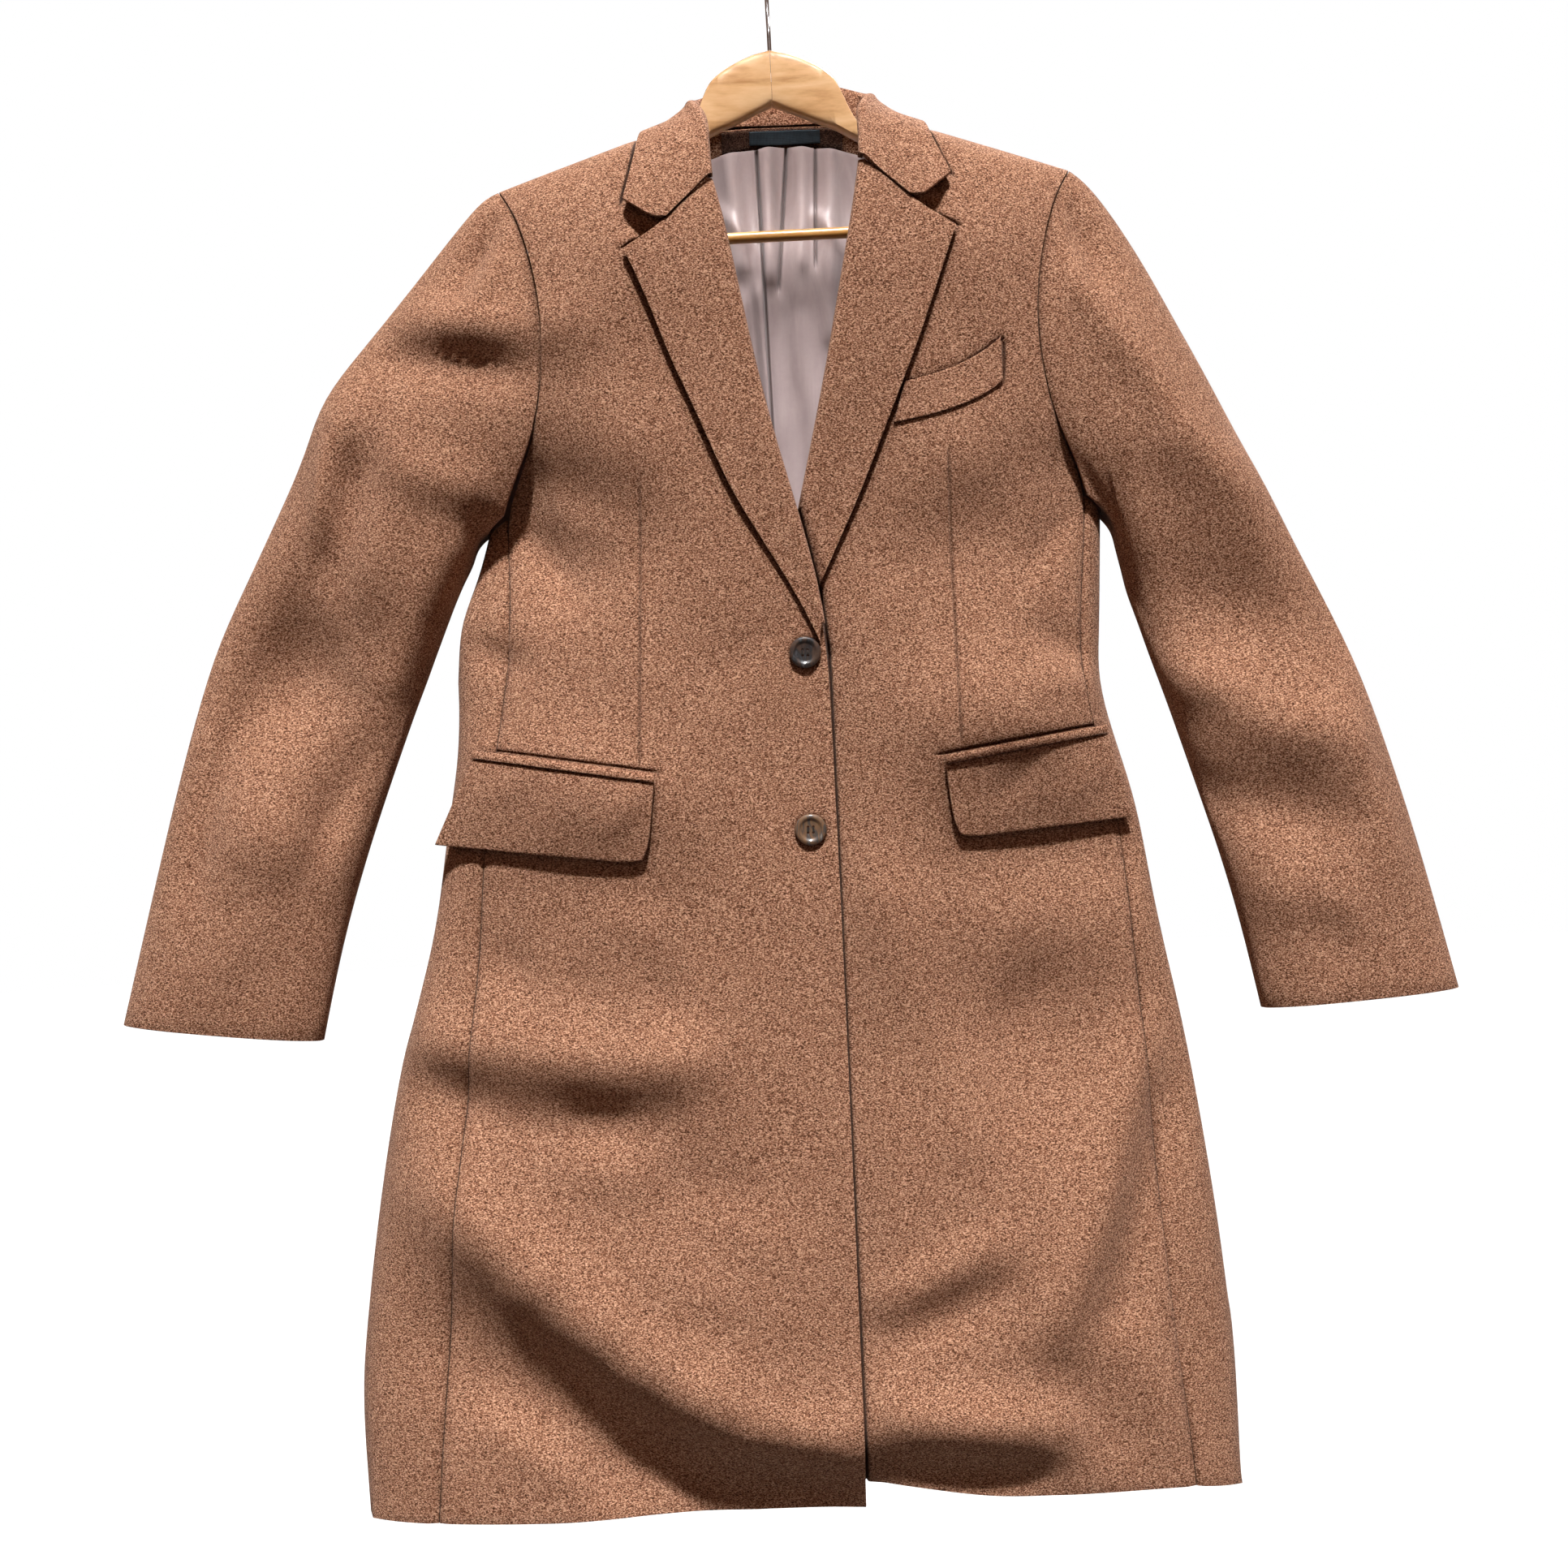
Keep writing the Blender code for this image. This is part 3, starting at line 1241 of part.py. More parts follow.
def main():
    """Builds the coat and its hanger."""
    for thing in list(bpy.data.objects):
        bpy.data.objects.remove(thing, do_unlink=True)
    coat = add_place("coat_place", COAT_PLACE)
    rail = add_place("rail_place", Vector(), HANGER_TILT)
    hanger = add_place("hanger_place", HANGER_PLACE, parent=rail)
    for side in (RIGHT, LEFT):
        add_front(side, coat)
        add_side(side, coat)
        add_sleeve(side, coat)
        add_lapel(side, coat)
        add_flap(side, coat)
        add_jet(side, coat)
        add_arm(side, hanger)
    add_back(coat)
    add_collar(coat)
    add_welt(coat)
    for name, (x, height) in BUTTON_PLACES.items():
        add_button(name, x, height, coat)
    add_lining(coat)
    add_facing(coat)
    add_label(coat)
    add_bar(hanger)
    add_hook(hanger)
    bpy.context.view_layer.update()


main()
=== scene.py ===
"""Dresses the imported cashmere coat: finer cloth with its creases, seams and darts, and all finishes.

Every cloth piece is a finer wall on its solid's own form. Lengths are in metres in the row frame, and
the creases are placed in the coat's own millimetres: x from its centre line and height above the hem.
"""

import logging
import math
from dataclasses import dataclass, replace
from enum import Enum
from functools import cache
from typing import Callable, Mapping

import bmesh
import bpy
from mathutils import Matrix, Vector, noise


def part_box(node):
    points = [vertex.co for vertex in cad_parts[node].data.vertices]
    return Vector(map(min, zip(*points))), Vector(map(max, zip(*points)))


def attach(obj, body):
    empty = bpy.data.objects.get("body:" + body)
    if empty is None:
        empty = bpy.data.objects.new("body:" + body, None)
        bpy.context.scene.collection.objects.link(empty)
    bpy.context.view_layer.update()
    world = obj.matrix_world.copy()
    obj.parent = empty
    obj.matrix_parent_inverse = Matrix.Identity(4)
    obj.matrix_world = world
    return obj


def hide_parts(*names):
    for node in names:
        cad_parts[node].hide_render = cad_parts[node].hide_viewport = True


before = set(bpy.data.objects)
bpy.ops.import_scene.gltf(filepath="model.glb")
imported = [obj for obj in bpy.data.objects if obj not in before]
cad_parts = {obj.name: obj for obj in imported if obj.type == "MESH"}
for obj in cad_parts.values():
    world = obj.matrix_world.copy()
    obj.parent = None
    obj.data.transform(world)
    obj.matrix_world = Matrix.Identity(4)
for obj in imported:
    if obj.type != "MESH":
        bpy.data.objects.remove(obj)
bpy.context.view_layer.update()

LOG = logging.getLogger("coat")
MM = 0.001
COAT_PLACE = Vector((0.007, 0.0, -1.048))
BODY = "root"
# Loose triangles of a solid are joined within this distance, and make quads up to these angles
MERGE = 1e-6
QUAD_FLAT, QUAD_SHAPE = math.radians(35), math.radians(75)
# An edge sharper than this is the rim of a wall
RIM_ANGLE = math.radians(48)
# A rim that turns by more than this has a corner there
KINK_ANGLE = math.radians(36)
INSIDE_FACING = 0.25
# The coat's middle plane in depth, in millimetres, and how much more depth counts than width in finding
# what faces inwards
MID_DEPTH, DEPTH_WEIGHT = 2.0, 4.0
# Past this many squared widths a crease has run out, and at its ends it has this share of its rise
FADED, END_RISE = 9.0, 0.65
# A sewn groove is a line in a shallow hollow: the line's share of its depth, and both widths in millimetres
LINE_SHARE, LINE_WIDTH, HOLLOW_WIDTH = 0.75, 0.9, 5.0
# How far from a groove the wall is cut and pressed, in millimetres, and how close a cut snaps, in metres
CUT_REACH, PRESS_REACH, CUT_SNAP = 24.0, 14.0, 1e-7
# A seam is pressed into what lies in front of this depth, in metres
SEAM_FRONT = -0.004
# Pieces that lie on the front stand off it: from these depths on not at all and in full, in metres
LIFT_FROM, LIFT_FULL = 0.005, 0.030

# The nap's slant, its stretch along the slant and its contrast
NAP_SLANT, NAP_STRETCH, NAP_CONTRAST = math.radians(38), (0.62, 0.8, 1.0), 4.4
# The unevenness of the back is read this far from that of the front
BACK_NOISE = 40.0
# The folds of an under-sleeve lie this much lower, and the sleeve's head above this height has none behind
UNDER_DROP, SLEEVE_HEAD = 25, 800
WHITE = (1.0, 1.0, 1.0, 1.0)
ARMS = ["hanger_arm_right", "hanger_arm_left"]

Colour = tuple[float, float, float, float]
Socket = bpy.types.NodeSocket


class Side(Enum):
    """Which way a cloth piece's right side faces."""

    FRONT = "front"
    BACK = "back"
    ROUND = "round"


class Lining(Enum):
    """What covers a cloth piece's wrong side."""

    NONE = "none"
    FACED = "faced"
    FULL = "full"


@dataclass(frozen=True)
class Crease:
    """A soft ridge, or a trough where rise is below zero, along a line on the cloth, in millimetres."""

    x1: float
    height1: float
    x2: float
    height2: float
    width: float
    rise: float

    def at(self, x: float, height: float) -> float:
        """Gives the rise at a point.

        Args:
            x: distance from the coat's centre line.
            height: distance above the hem.

        Returns:
            The height of the crease there, in millimetres.
        """
        along_x, along_h = self.x2 - self.x1, self.height2 - self.height1
        length = along_x * along_x + along_h * along_h
        share = ((x - self.x1) * along_x + (height - self.height1) * along_h) / max(length, 1e-6)
        share = min(1.0, max(0.0, share))
        gap_x = x - self.x1 - share * along_x
        gap_h = height - self.height1 - share * along_h
        away = (gap_x * gap_x + gap_h * gap_h) / (self.width * self.width)
        if away > FADED:
            return 0.0
        return self.rise * (END_RISE + (1.0 - END_RISE) * math.sin(math.pi * share)) * math.exp(-away)


@dataclass(frozen=True)
class Dart:
    """A sewn dart or a sharp edge's foot: a fine groove between two points, in millimetres."""

    x1: float
    height1: float
    x2: float
    height2: float
    depth: float = 2.8
    cuts: tuple[float, ...] = (-9.0, -4.5, -2.2, -1.2, -0.6, 0.0, 0.6, 1.2, 2.2, 4.5, 9.0)

    def gap(self, x: float, height: float) -> float:
        """Gives the distance of a point from the dart's line, in millimetres."""
        along = Vector((self.x2 - self.x1, self.height2 - self.height1))
        point = Vector((x - self.x1, height - self.height1))
        share = min(1.0, max(0.0, point.dot(along) / along.length_squared))
        return (point - along * share).length

    def depth_at(self, x: float, height: float) -> float:
        """Gives how deep the groove is at a point, in millimetres."""
        away = self.gap(x, height)
        line, hollow = (math.exp(-((away / width) ** 2)) for width in (LINE_WIDTH, HOLLOW_WIDTH))
        return self.depth * (LINE_SHARE * line + (1.0 - LINE_SHARE) * hollow)


@dataclass(frozen=True)
class Seam:
    """A pressed seam between two panels, along a line of points, in millimetres."""

    points: tuple[tuple[float, float], ...]
    depth: float = 2.4

    def depth_at(self, x: float, height: float) -> float:
        """Gives how deep the seam's groove is at a point, in millimetres."""
        runs = (Dart(*start, *end, depth=self.depth) for start, end in zip(self.points, self.points[1:]))
        return max(run.depth_at(x, height) for run in runs)


def coat_point(co: Vector) -> tuple[float, float]:
    """Gives a place's x and height on the coat.

    Args:
        co: a point in the row frame, in metres.

    Returns:
        Its distance from the centre line and above the hem, in millimetres.
    """
    return (co.x - COAT_PLACE.x) / MM, (co.z - COAT_PLACE.z) / MM


def smooth_share(low: float, high: float, value: float) -> float:
    """Gives how far value lies from low to high, eased at both ends."""
    share = min(1.0, max(0.0, (value - low) / (high - low)))
    return share * share * (3.0 - 2.0 * share)


def creases(*rows: tuple[float, ...]) -> tuple[Crease, ...]:
    """Makes creases from rows of x1, height1, x2, height2, width and rise."""
    return tuple(Crease(*row) for row in rows)


FRONT_CREASES = creases(
    # The ridge across the right skirt, in three humps, and the small dents over it
    (-268, 323, -208, 315, 19, 6.0),
    (-190, 313, -142, 306, 18, 7.0),
    (-118, 304, -78, 306, 17, 6.0),
    (-212, 378, -196, 362, 16, -4.5),
    (-160, 362, -150, 348, 12, -3.0),
    (-106, 354, -98, 342, 12, -3.2),
    (-140, 400, -100, 390, 16, 2.6),
    # The hollow under it
    (-264, 292, -206, 268, 17, -5.0),
    (-184, 266, -104, 264, 17, -5.5),
    (-168, 238, -120, 226, 14, 2.8),
    # The long ridge down to the front edge
    (-258, 220, -202, 170, 26, 9.0),
    (-186, 156, -134, 112, 26, 10.0),
    (-116, 100, -60, 64, 24, 9.0),
    (-36, 60, 12, 48, 18, 6.0),
    (-246, 120, -156, 44, 34, -9.0),
    (-134, 36, -50, -4, 32, -9.0),
    (-34, 14, 16, 0, 20, -6.0),
    (-110, -14, 150, -14, 46, -8.0),
    (-224, 66, -172, 26, 15, 4.6),
    (-110, 168, -30, 134, 20, 3.0),
    (-70, 200, -14, 166, 22, 2.6),
    (-110, 228, -50, 214, 18, -2.4),
    (-30, 384, 12, 381, 5, -1.2),
    # The left skirt
    (52, 408, 96, 246, 20, 4.4),
    (104, 430, 206, 434, 34, -8.0),
    (112, 312, 196, 290, 70, -12.0),
    (150, 352, 128, 310, 16, -3.0),
    (220, 306, 192, 216, 17, 6.0),
    (186, 198, 148, 112, 17, 6.0),
    (230, 262, 196, 130, 16, -5.0),
    (38, 142, 118, 174, 13, 4.5),
    (44, 112, 112, 142, 13, -4.0),
    (42, 64, 148, 52, 18, 7.0),
    (38, 24, 140, 16, 15, -5.0),
    (150, 96, 186, 44, 18, -3.6),
    (206, 110, 226, 40, 14, 3.2),
    # The waist and the chest
    (-150, 850, -90, 830, 60, 4.0),
    (150, 850, 90, 830, 60, 4.0),
    (-204, 646, -120, 656, 44, -13.0),
    (-204, 490, -104, 478, 46, 10.0),
    (-218, 586, -190, 572, 10, -4.2),
    (-120, 566, -70, 540, 26, 2.4),
    (-183, 664, -150, 622, 10, -3.6),
    (-172, 680, -124, 654, 14, 3.2),
    (188, 566, 164, 584, 10, -4.2),
    (198, 545, 168, 550, 10, 3.0),
    (186, 664, 156, 628, 11, -3.2),
    (98, 530, 180, 532, 40, 9.0),
    (84, 640, 160, 652, 40, -7.0),
    (-146, 796, -172, 800, 24, 5.5),
    (-162, 694, -196, 686, 32, -9.0),
    (164, 694, 192, 688, 28, -5.0),
    (-120, 738, -104, 690, 30, 2.4),
    (120, 720, 104, 680, 28, 2.0),
    (-132, 462, -110, 488, 8, 1.4),
    (-200, 470, -176, 492, 10, -1.4),
    (126, 474, 150, 492, 9, -1.4),
    (176, 470, 196, 492, 9, 1.2),
    (-60, 560, -20, 590, 14, -1.4),
    (62, 610, 34, 560, 14, 1.4),
)
BACK_CREASES = creases(
    (-205, 566, -120, 548, 13, -3.6),
    (200, 556, 108, 540, 13, -3.4),
    (-180, 526, -90, 506, 20, 3.4),
    (84, 514, 170, 500, 20, 3.0),
    (-182, 704, -112, 636, 16, -3.4),
    (178, 700, 116, 646, 16, -3.2),
    (-230, 316, -120, 262, 18, -4.2),
    (-214, 352, -130, 318, 18, 3.6),
    (-80, 226, 30, 176, 19, -4.0),
    (-60, 262, 60, 214, 20, 3.8),
    (70, 330, 160, 276, 18, 3.8),
    (96, 292, 176, 240, 16, -3.6),
    (150, 190, 206, 90, 17, -4.0),
    (-190, 150, -110, 60, 18, 4.0),
    (-146, 74, -84, 20, 16, -3.4),
    (6, 120, 80, 40, 18, -3.4),
    (40, 150, 120, 80, 18, 3.0),
    (-90, 860, -26, 846, 20, -1.8),
    (34, 850, 96, 858, 20, -1.6),
    (-30, 760, -22, 600, 26, 1.6),
)
SLEEVE_CREASES = creases(
    # The eased head of the right sleeve and the folds down it
    (-198, 872, -210, 846, 8, -4.6),
    (-210, 850, -222, 826, 8, -4.0),
    (-197, 842, -208, 820, 7, 3.4),
    (-250, 808, -186, 799, 15, 7.0),
    (-262, 782, -184, 768, 13, -6.0),
    (-258, 704, -212, 688, 16, 5.0),
    (-316, 742, -272, 734, 26, 7.0),
    (-304, 588, -374, 552, 44, -17.0),
    (-284, 744, -312, 640, 13, -5.0),
    (-236, 650, -276, 570, 15, 5.0),
    (-264, 704, -296, 580, 18, 4.0),
    (-330, 640, -362, 540, 18, -4.0),
    (-316, 716, -318, 668, 9, 5.0),
    (-262, 584, -300, 520, 12, 2.4),
    (-370, 462, -326, 448, 24, 6.0),
    (-302, 520, -340, 440, 12, -4.6),
    (-398, 510, -418, 430, 12, -4.0),
    (-386, 580, -412, 520, 12, 3.2),
    (-372, 404, -410, 366, 12, 2.6),
    # The same on the left
    (194, 868, 198, 842, 8, -4.6),
    (204, 848, 208, 822, 8, -4.0),
    (190, 826, 194, 802, 7, 3.2),
    (206, 800, 262, 716, 17, 6.0),
    (234, 712, 330, 668, 22, 6.0),
    (246, 604, 342, 576, 40, -11.5),
    (252, 548, 296, 536, 17, 6.0),
    (298, 516, 366, 506, 18, 7.0),
    (272, 468, 362, 448, 20, -7.0),
    (306, 404, 356, 388, 17, 5.0),
    (372, 500, 392, 420, 13, 3.2),
    (334, 390, 356, 362, 12, -3.0),
)
# Pleats and soft drags of the lining: below zero they stand towards the front
LINING_CREASES = creases(
    (-10, 932, -12, 838, 6, -5.0),
    (14, 932, 11, 846, 5, -3.6),
    (34, 928, 29, 796, 6.5, -5.0),
    (-37, 926, -31, 846, 7, -5.5),
    (22, 880, 42, 852, 5, -3.4),
    (-44, 884, -26, 862, 5, -3.2),
    (-42, 842, 42, 844, 32, -8.5),
    (-20, 828, -12, 690, 4.5, -5.0),
    (-31, 822, -27, 752, 4, -3.6),
    (8, 800, 24, 680, 9, -2.4),
    (-4, 740, 2, 650, 6, -2.0),
)
# The right front's dart, the line over its pocket jet, the foot of the collar's outer edge and that of the
# lapel's top edge
RIGHT_DARTS = (
    Dart(-104, 694, -111, 503, depth=1.9),
    Dart(-99, 498, -207, 516.5, depth=2.2),
    Dart(-109.5, 879.5, -103, 905, depth=5.0),
    Dart(-103, 905, -98.8, 931, depth=6.0),
    Dart(-109, 847, -90, 858.6, depth=4.5),
)
# The same on the left, with three lines round the breast welt and two at the foot of the right front's edge
LEFT_DARTS = (
    Dart(102, 701, 103, 508, depth=1.9),
    Dart(90, 503, 194, 518.5, depth=2.2),
    Dart(74, 747.5, 111, 758, depth=3.6),
    Dart(112, 758.5, 141, 777.5, depth=3.6),
    Dart(142, 775, 140.6, 749, depth=3.0),
    Dart(112.4, 890.5, 104.6, 910.5, depth=5.0),
    Dart(104.6, 910.5, 99.2, 932, depth=6.0),
    Dart(112.8, 855, 94, 867.2, depth=4.5),
    Dart(21.9, 8, 17.9, 572, depth=9.0),
    Dart(17.7, 574, 14.0, 612, depth=7.0),
)
# The right lapel's seam to the collar, and the foot of the right lapel's fold on the left lapel
GORGE = Dart(-82, 866, -48, 890.5, depth=2.4)
LAPEL_FOOT = Dart(13.4, 613, 1.6, 668, depth=6.0)
RIGHT_SEAM = Seam(((-266, 0), (-251, 160), (-235, 294), (-225, 379), (-219, 447), (-201, 557), (-196, 610),
                   (-198, 674)))
LEFT_SEAM = Seam(((244, 0), (229, 160), (222, 294), (216, 379), (211, 447), (188, 557), (190, 610),
                  (196, 674)))
# The sewn edges of the lining's pleats
LINING_PLEATS = (
    Dart(-18, 926, -13, 690, depth=4.6),
    Dart(3, 930, -6, 830, depth=3.6),
    Dart(23, 928, 20, 846, depth=3.0),
)


@dataclass(frozen=True)
class Drape:
    """How a group of cloth pieces is moved along Y by its creases and by the cloth's own unevenness."""

    front: tuple[Crease, ...] = ()
    back: tuple[Crease, ...] = ()
    turn_depth: float = 26.0
    deepen: float = 1.45
    uneven: float = 0.7
    uneven_size: float = 62.0

    def offset(self, co: Vector) -> float:
        """Gives how far a point moves along Y.

        Args:
            co: the point in the row frame, in metres.

        Returns:
            The move along Y, in metres: forwards is below zero.
        """
        x, height = coat_point(co)
        depth = co.y / MM
        forward = smooth_share(0.0, self.turn_depth, MID_DEPTH - depth)
        backward = smooth_share(0.0, self.turn_depth, depth - MID_DEPTH)
        move = 0.0
        if forward > 0.0:
            move -= forward * self.deepen * sum(crease.at(x, height) for crease in self.front)
        if backward > 0.0:
            move += backward * self.deepen * sum(crease.at(x, height) for crease in self.back)
        place = Vector((x, height, BACK_NOISE if depth > MID_DEPTH else 0.0)) / self.uneven_size
        move += (forward + backward) * self.uneven * noise.noise(place)
        return move * MM


BODY_DRAPE = Drape(FRONT_CREASES, BACK_CREASES)
# The right front's edge stands up a little, the left front lies back beside it, and both dip at the notch
RIGHT_EDGE = creases((23, 10, 19, 560, 8, 1.8), (-101, 863, -90, 860, 8, -4.5))
LEFT_EDGE = creases((30, 10, 26, 570, 11, -2.6), (101, 870, 90, 866, 8, -4.5))
RIGHT_DRAPE = Drape(FRONT_CREASES + RIGHT_EDGE, BACK_CREASES)
LEFT_DRAPE = Drape(FRONT_CREASES + LEFT_EDGE, BACK_CREASES)
UNDER_CREASES = tuple(
    replace(crease, height1=crease.height1 - UNDER_DROP, height2=crease.height2 - UNDER_DROP)
    for crease in SLEEVE_CREASES if crease.height1 < SLEEVE_HEAD
)
SLEEVE_DRAPE = Drape(SLEEVE_CREASES, UNDER_CREASES, turn_depth=20.0, deepen=1.4)
LINING_DRAPE = Drape(back=LINING_CREASES, turn_depth=12.0, deepen=1.2, uneven=0.5, uneven_size=24.0)
STILL = Drape(uneven=0.0)


class Nodes:
    """A short way to fill a node tree."""

    def __init__(self, tree: bpy.types.NodeTree) -> None:
        """Keeps the tree to be filled."""
        self.tree = tree

    def feed(self, node: bpy.types.Node, inputs: dict) -> None:
        """Gives a node's inputs their values or sockets.

        Args:
            node: the node.
            inputs: values or sockets for its inputs, by name or number.
        """
        for name, value in inputs.items():
            if isinstance(value, bpy.types.NodeSocket):
                self.tree.links.new(value, node.inputs[name])
            else:
                node.inputs[name].default_value = value

    def add(self, kind: str, inputs: dict | None = None, **settings: object) -> bpy.types.Node:
        """Adds a node.

        Args:
            kind: the node's type name.
            inputs: values or sockets for its inputs, by name or number.
            settings: its own attributes.

        Returns:
            The new node.
        """
        node = self.tree.nodes.new(kind)
        for name, value in settings.items():
            setattr(node, name, value)
        self.feed(node, inputs or {})
        return node

    def maths(self, operation: str, *values: object, clamp: bool = False) -> Socket:
        """Adds a Math node and gives its output socket."""
        node = self.add("ShaderNodeMath", dict(enumerate(values)), operation=operation, use_clamp=clamp)
        return node.outputs[0]

    def weighed(self, first: object, share: float, second: object) -> Socket:
        """Adds up a share of the first value and the rest of the second."""
        rest = self.maths("MULTIPLY", second, 1.0 - share)
        return self.maths("ADD", self.maths("MULTIPLY", first, share), rest)

    def mix(self, share: object, first: object, second: object, blend: str = "MIX") -> Socket:
        """Adds a colour Mix node and gives its output socket."""
        values = {0: share, 6: first, 7: second}
        return self.add("ShaderNodeMix", values, data_type="RGBA", blend_type=blend).outputs[2]

    def ramp(self, value: object, stops: list[tuple[float, Colour]]) -> Socket:
        """Adds a colour ramp.

        Args:
            value: what the ramp reads.
            stops: the place and colour of each stop, in order.

        Returns:
            The ramp's colour socket.
        """
        node = self.add("ShaderNodeValToRGB", {0: value})
        elements = node.color_ramp.elements
        elements[0].position, elements[0].color = stops[0]
        elements[1].position, elements[1].color = stops[-1]
        for position, colour in stops[1:-1]:
            elements.new(position).color = colour
        return node.outputs[0]

    def noise(self, vector: object, scale: object, detail: float = 2.0, rough: float = 0.5,
              bend: object = 0.0) -> Socket:
        """Adds a Noise Texture and gives its value socket."""
        values = {"Vector": vector, "Scale": scale, "Detail": detail, "Roughness": rough}
        return self.add("ShaderNodeTexNoise", values | {"Distortion": bend}).outputs[0]

    def stretched(self, vector: object, scale: tuple, turn: float = 0.0) -> Socket:
        """Gives coordinates that are turned about Y and then scaled."""
        values = {"Vector": vector, "Rotation": (0.0, turn, 0.0), "Scale": scale}
        return self.add("ShaderNodeMapping", values).outputs[0]

    def bump(self, height: object, deep: float, strength: float) -> Socket:
        """Gives the normal of a height, whose full rise is deep metres."""
        values = {"Height": height, "Distance": deep, "Strength": strength}
        return self.add("ShaderNodeBump", values).outputs[0]

    def painted_contact_shade(self, colour: object, dark: Colour, reach: float, share: float) -> Socket:
        """Paints shade into a colour: darkens it in its creases and where another edge lies close, as an
        Ambient Occlusion node finds.

        Args:
            colour: the colour's socket.
            dark: the painted shade's colour, which multiplies the colour where it is all shut in.
            reach: how far off an edge counts, in metres.
            share: how strongly it counts.

        Returns:
            The socket of the colour with its painted shade.
        """
        near = self.add("ShaderNodeAmbientOcclusion", {"Distance": reach}, samples=8).outputs["AO"]
        close = self.maths("MULTIPLY", self.maths("SUBTRACT", 1.0, near), share, clamp=True)
        return self.mix(close, colour, dark, "MULTIPLY")


def new_group(name: str, inputs: dict[str, object], outputs: tuple[str, str]) -> tuple:
    """Makes an empty shader node group that reads coordinates.

    Args:
        name: the group's name.
        inputs: the default of each input apart from Vector, a number or a vector, by name.
        outputs: the names of the values that it gives.

    Returns:
        The group's filler, its input sockets and its output node.
    """
    group = bpy.data.node_groups.new(name, "ShaderNodeTree")
    group.interface.new_socket(name="Vector", in_out="INPUT", socket_type="NodeSocketVector")
    for key, value in inputs.items():
        kind = "NodeSocketVector" if isinstance(value, tuple) else "NodeSocketFloat"
        group.interface.new_socket(name=key, in_out="INPUT", socket_type=kind).default_value = value
    for key in outputs:
        group.interface.new_socket(name=key, in_out="OUTPUT", socket_type="NodeSocketFloat")
    fill = Nodes(group)
    return fill, fill.add("NodeGroupInput").outputs, fill.add("NodeGroupOutput")


@cache
def nap_group() -> bpy.types.NodeTree:
    """Makes the brushed nap: short slanted tufts over finer fibres, as a shade and a height.

    Returns:
        The node group, with inputs Vector, Tuft and Fibre and outputs Shade and Height.
    """
    fill, enter, leave = new_group("brushed_nap", {"Tuft": 1300.0, "Fibre": 3300.0}, ("Shade", "Height"))
    slant = fill.stretched(enter["Vector"], NAP_STRETCH, NAP_SLANT)
    tuft = fill.noise(slant, enter["Tuft"], detail=1.5, rough=0.6, bend=0.6)
    height = fill.weighed(tuft, 0.75, fill.noise(slant, enter["Fibre"], detail=1.0))
    shade = fill.maths("MULTIPLY_ADD", fill.maths("SUBTRACT", height, 0.5), NAP_CONTRAST, 0.5, clamp=True)
    fill.feed(leave, {"Shade": shade, "Height": height})
    return fill.tree


@cache
def weave_group() -> bpy.types.NodeTree:
    """Makes fine crossing threads, as a shade and a height.

    Returns:
        The node group, with inputs Vector and Threads and outputs Shade and Height.
    """
    fill, enter, leave = new_group("fine_weave", {"Threads": 600.0}, ("Shade", "Height"))
    thread = {"Vector": enter["Vector"], "Scale": enter["Threads"], "Distortion": 0.6}
    waves = [fill.add("ShaderNodeTexWave", thread, bands_direction=way) for way in ("X", "Z")]
    height = fill.maths("MULTIPLY", *(wave.outputs["Fac"] for wave in waves))
    slub = fill.noise(enter["Vector"], 260.0, detail=3.0, rough=0.6)
    fill.feed(leave, {"Shade": fill.weighed(height, 0.4, slub), "Height": height})
    return fill.tree


@cache
def streak_group() -> bpy.types.NodeTree:
    """Makes long streaks along X, for wood grain, horn and drawn wire.

    Returns:
        The node group, with inputs Vector, Stretch, Scale and Bend and outputs Broad and Fine.
    """
    values = {"Stretch": (1.0, 1.0, 1.0), "Scale": 60.0, "Bend": 1.0}
    fill, enter, leave = new_group("streaks", values, ("Broad", "Fine"))
    ways = {0: enter["Vector"], 1: enter["Stretch"]}
    drawn = fill.add("ShaderNodeVectorMath", ways, operation="MULTIPLY").outputs[0]
    broad = fill.noise(drawn, enter["Scale"], detail=3.0, bend=enter["Bend"])
    fine = fill.noise(drawn, fill.maths("MULTIPLY", enter["Scale"], 5.0), detail=4.0, rough=0.65)
    fill.feed(leave, {"Broad": broad, "Fine": fine})
    return fill.tree


@dataclass(frozen=True)
class Finish:
    """A material that is built from nodes once and shared by its pieces."""

    name: str
    kind: str = ""

    def material(self) -> bpy.types.Material:
        """Gives the finish's material, built on its first use under a name apart from the solids' one."""
        name = f"{self.name}{self.kind}_finish"
        return bpy.data.materials.get(name) or new_material(name, self.look)

    def effect(self, fill: Nodes, maker: Callable[[], bpy.types.NodeTree], place: Socket,
               **values: object) -> Mapping[str, Socket]:
        """Places a shared effect with its own values in the material and gives its outputs."""
        return fill.add("ShaderNodeGroup", {"Vector": place} | values, node_tree=maker()).outputs

    def look(self, fill: Nodes, place: Socket) -> dict[str, object]:
        """Fills the material: each finish has its own way.

        Args:
            fill: the material's filler.
            place: the Object coordinates' socket.

        Returns:
            Values or sockets for the Principled shader, by the input's name.
        """
        raise NotImplementedError


def new_material(name: str, look: Callable[[Nodes, Socket], dict[str, object]]) -> bpy.types.Material:
    """Makes a material with one Principled shader.

    Args:
        name: the material's name.
        look: fills its tree and gives the shader's inputs.

    Returns:
        The material.
    """
    material = bpy.data.materials.new(name)
    material.use_nodes = True
    fill = Nodes(material.node_tree)
    inputs = look(fill, fill.add("ShaderNodeTexCoord").outputs["Object"])
    fill.feed(material.node_tree.nodes["Principled BSDF"], inputs)
    return material


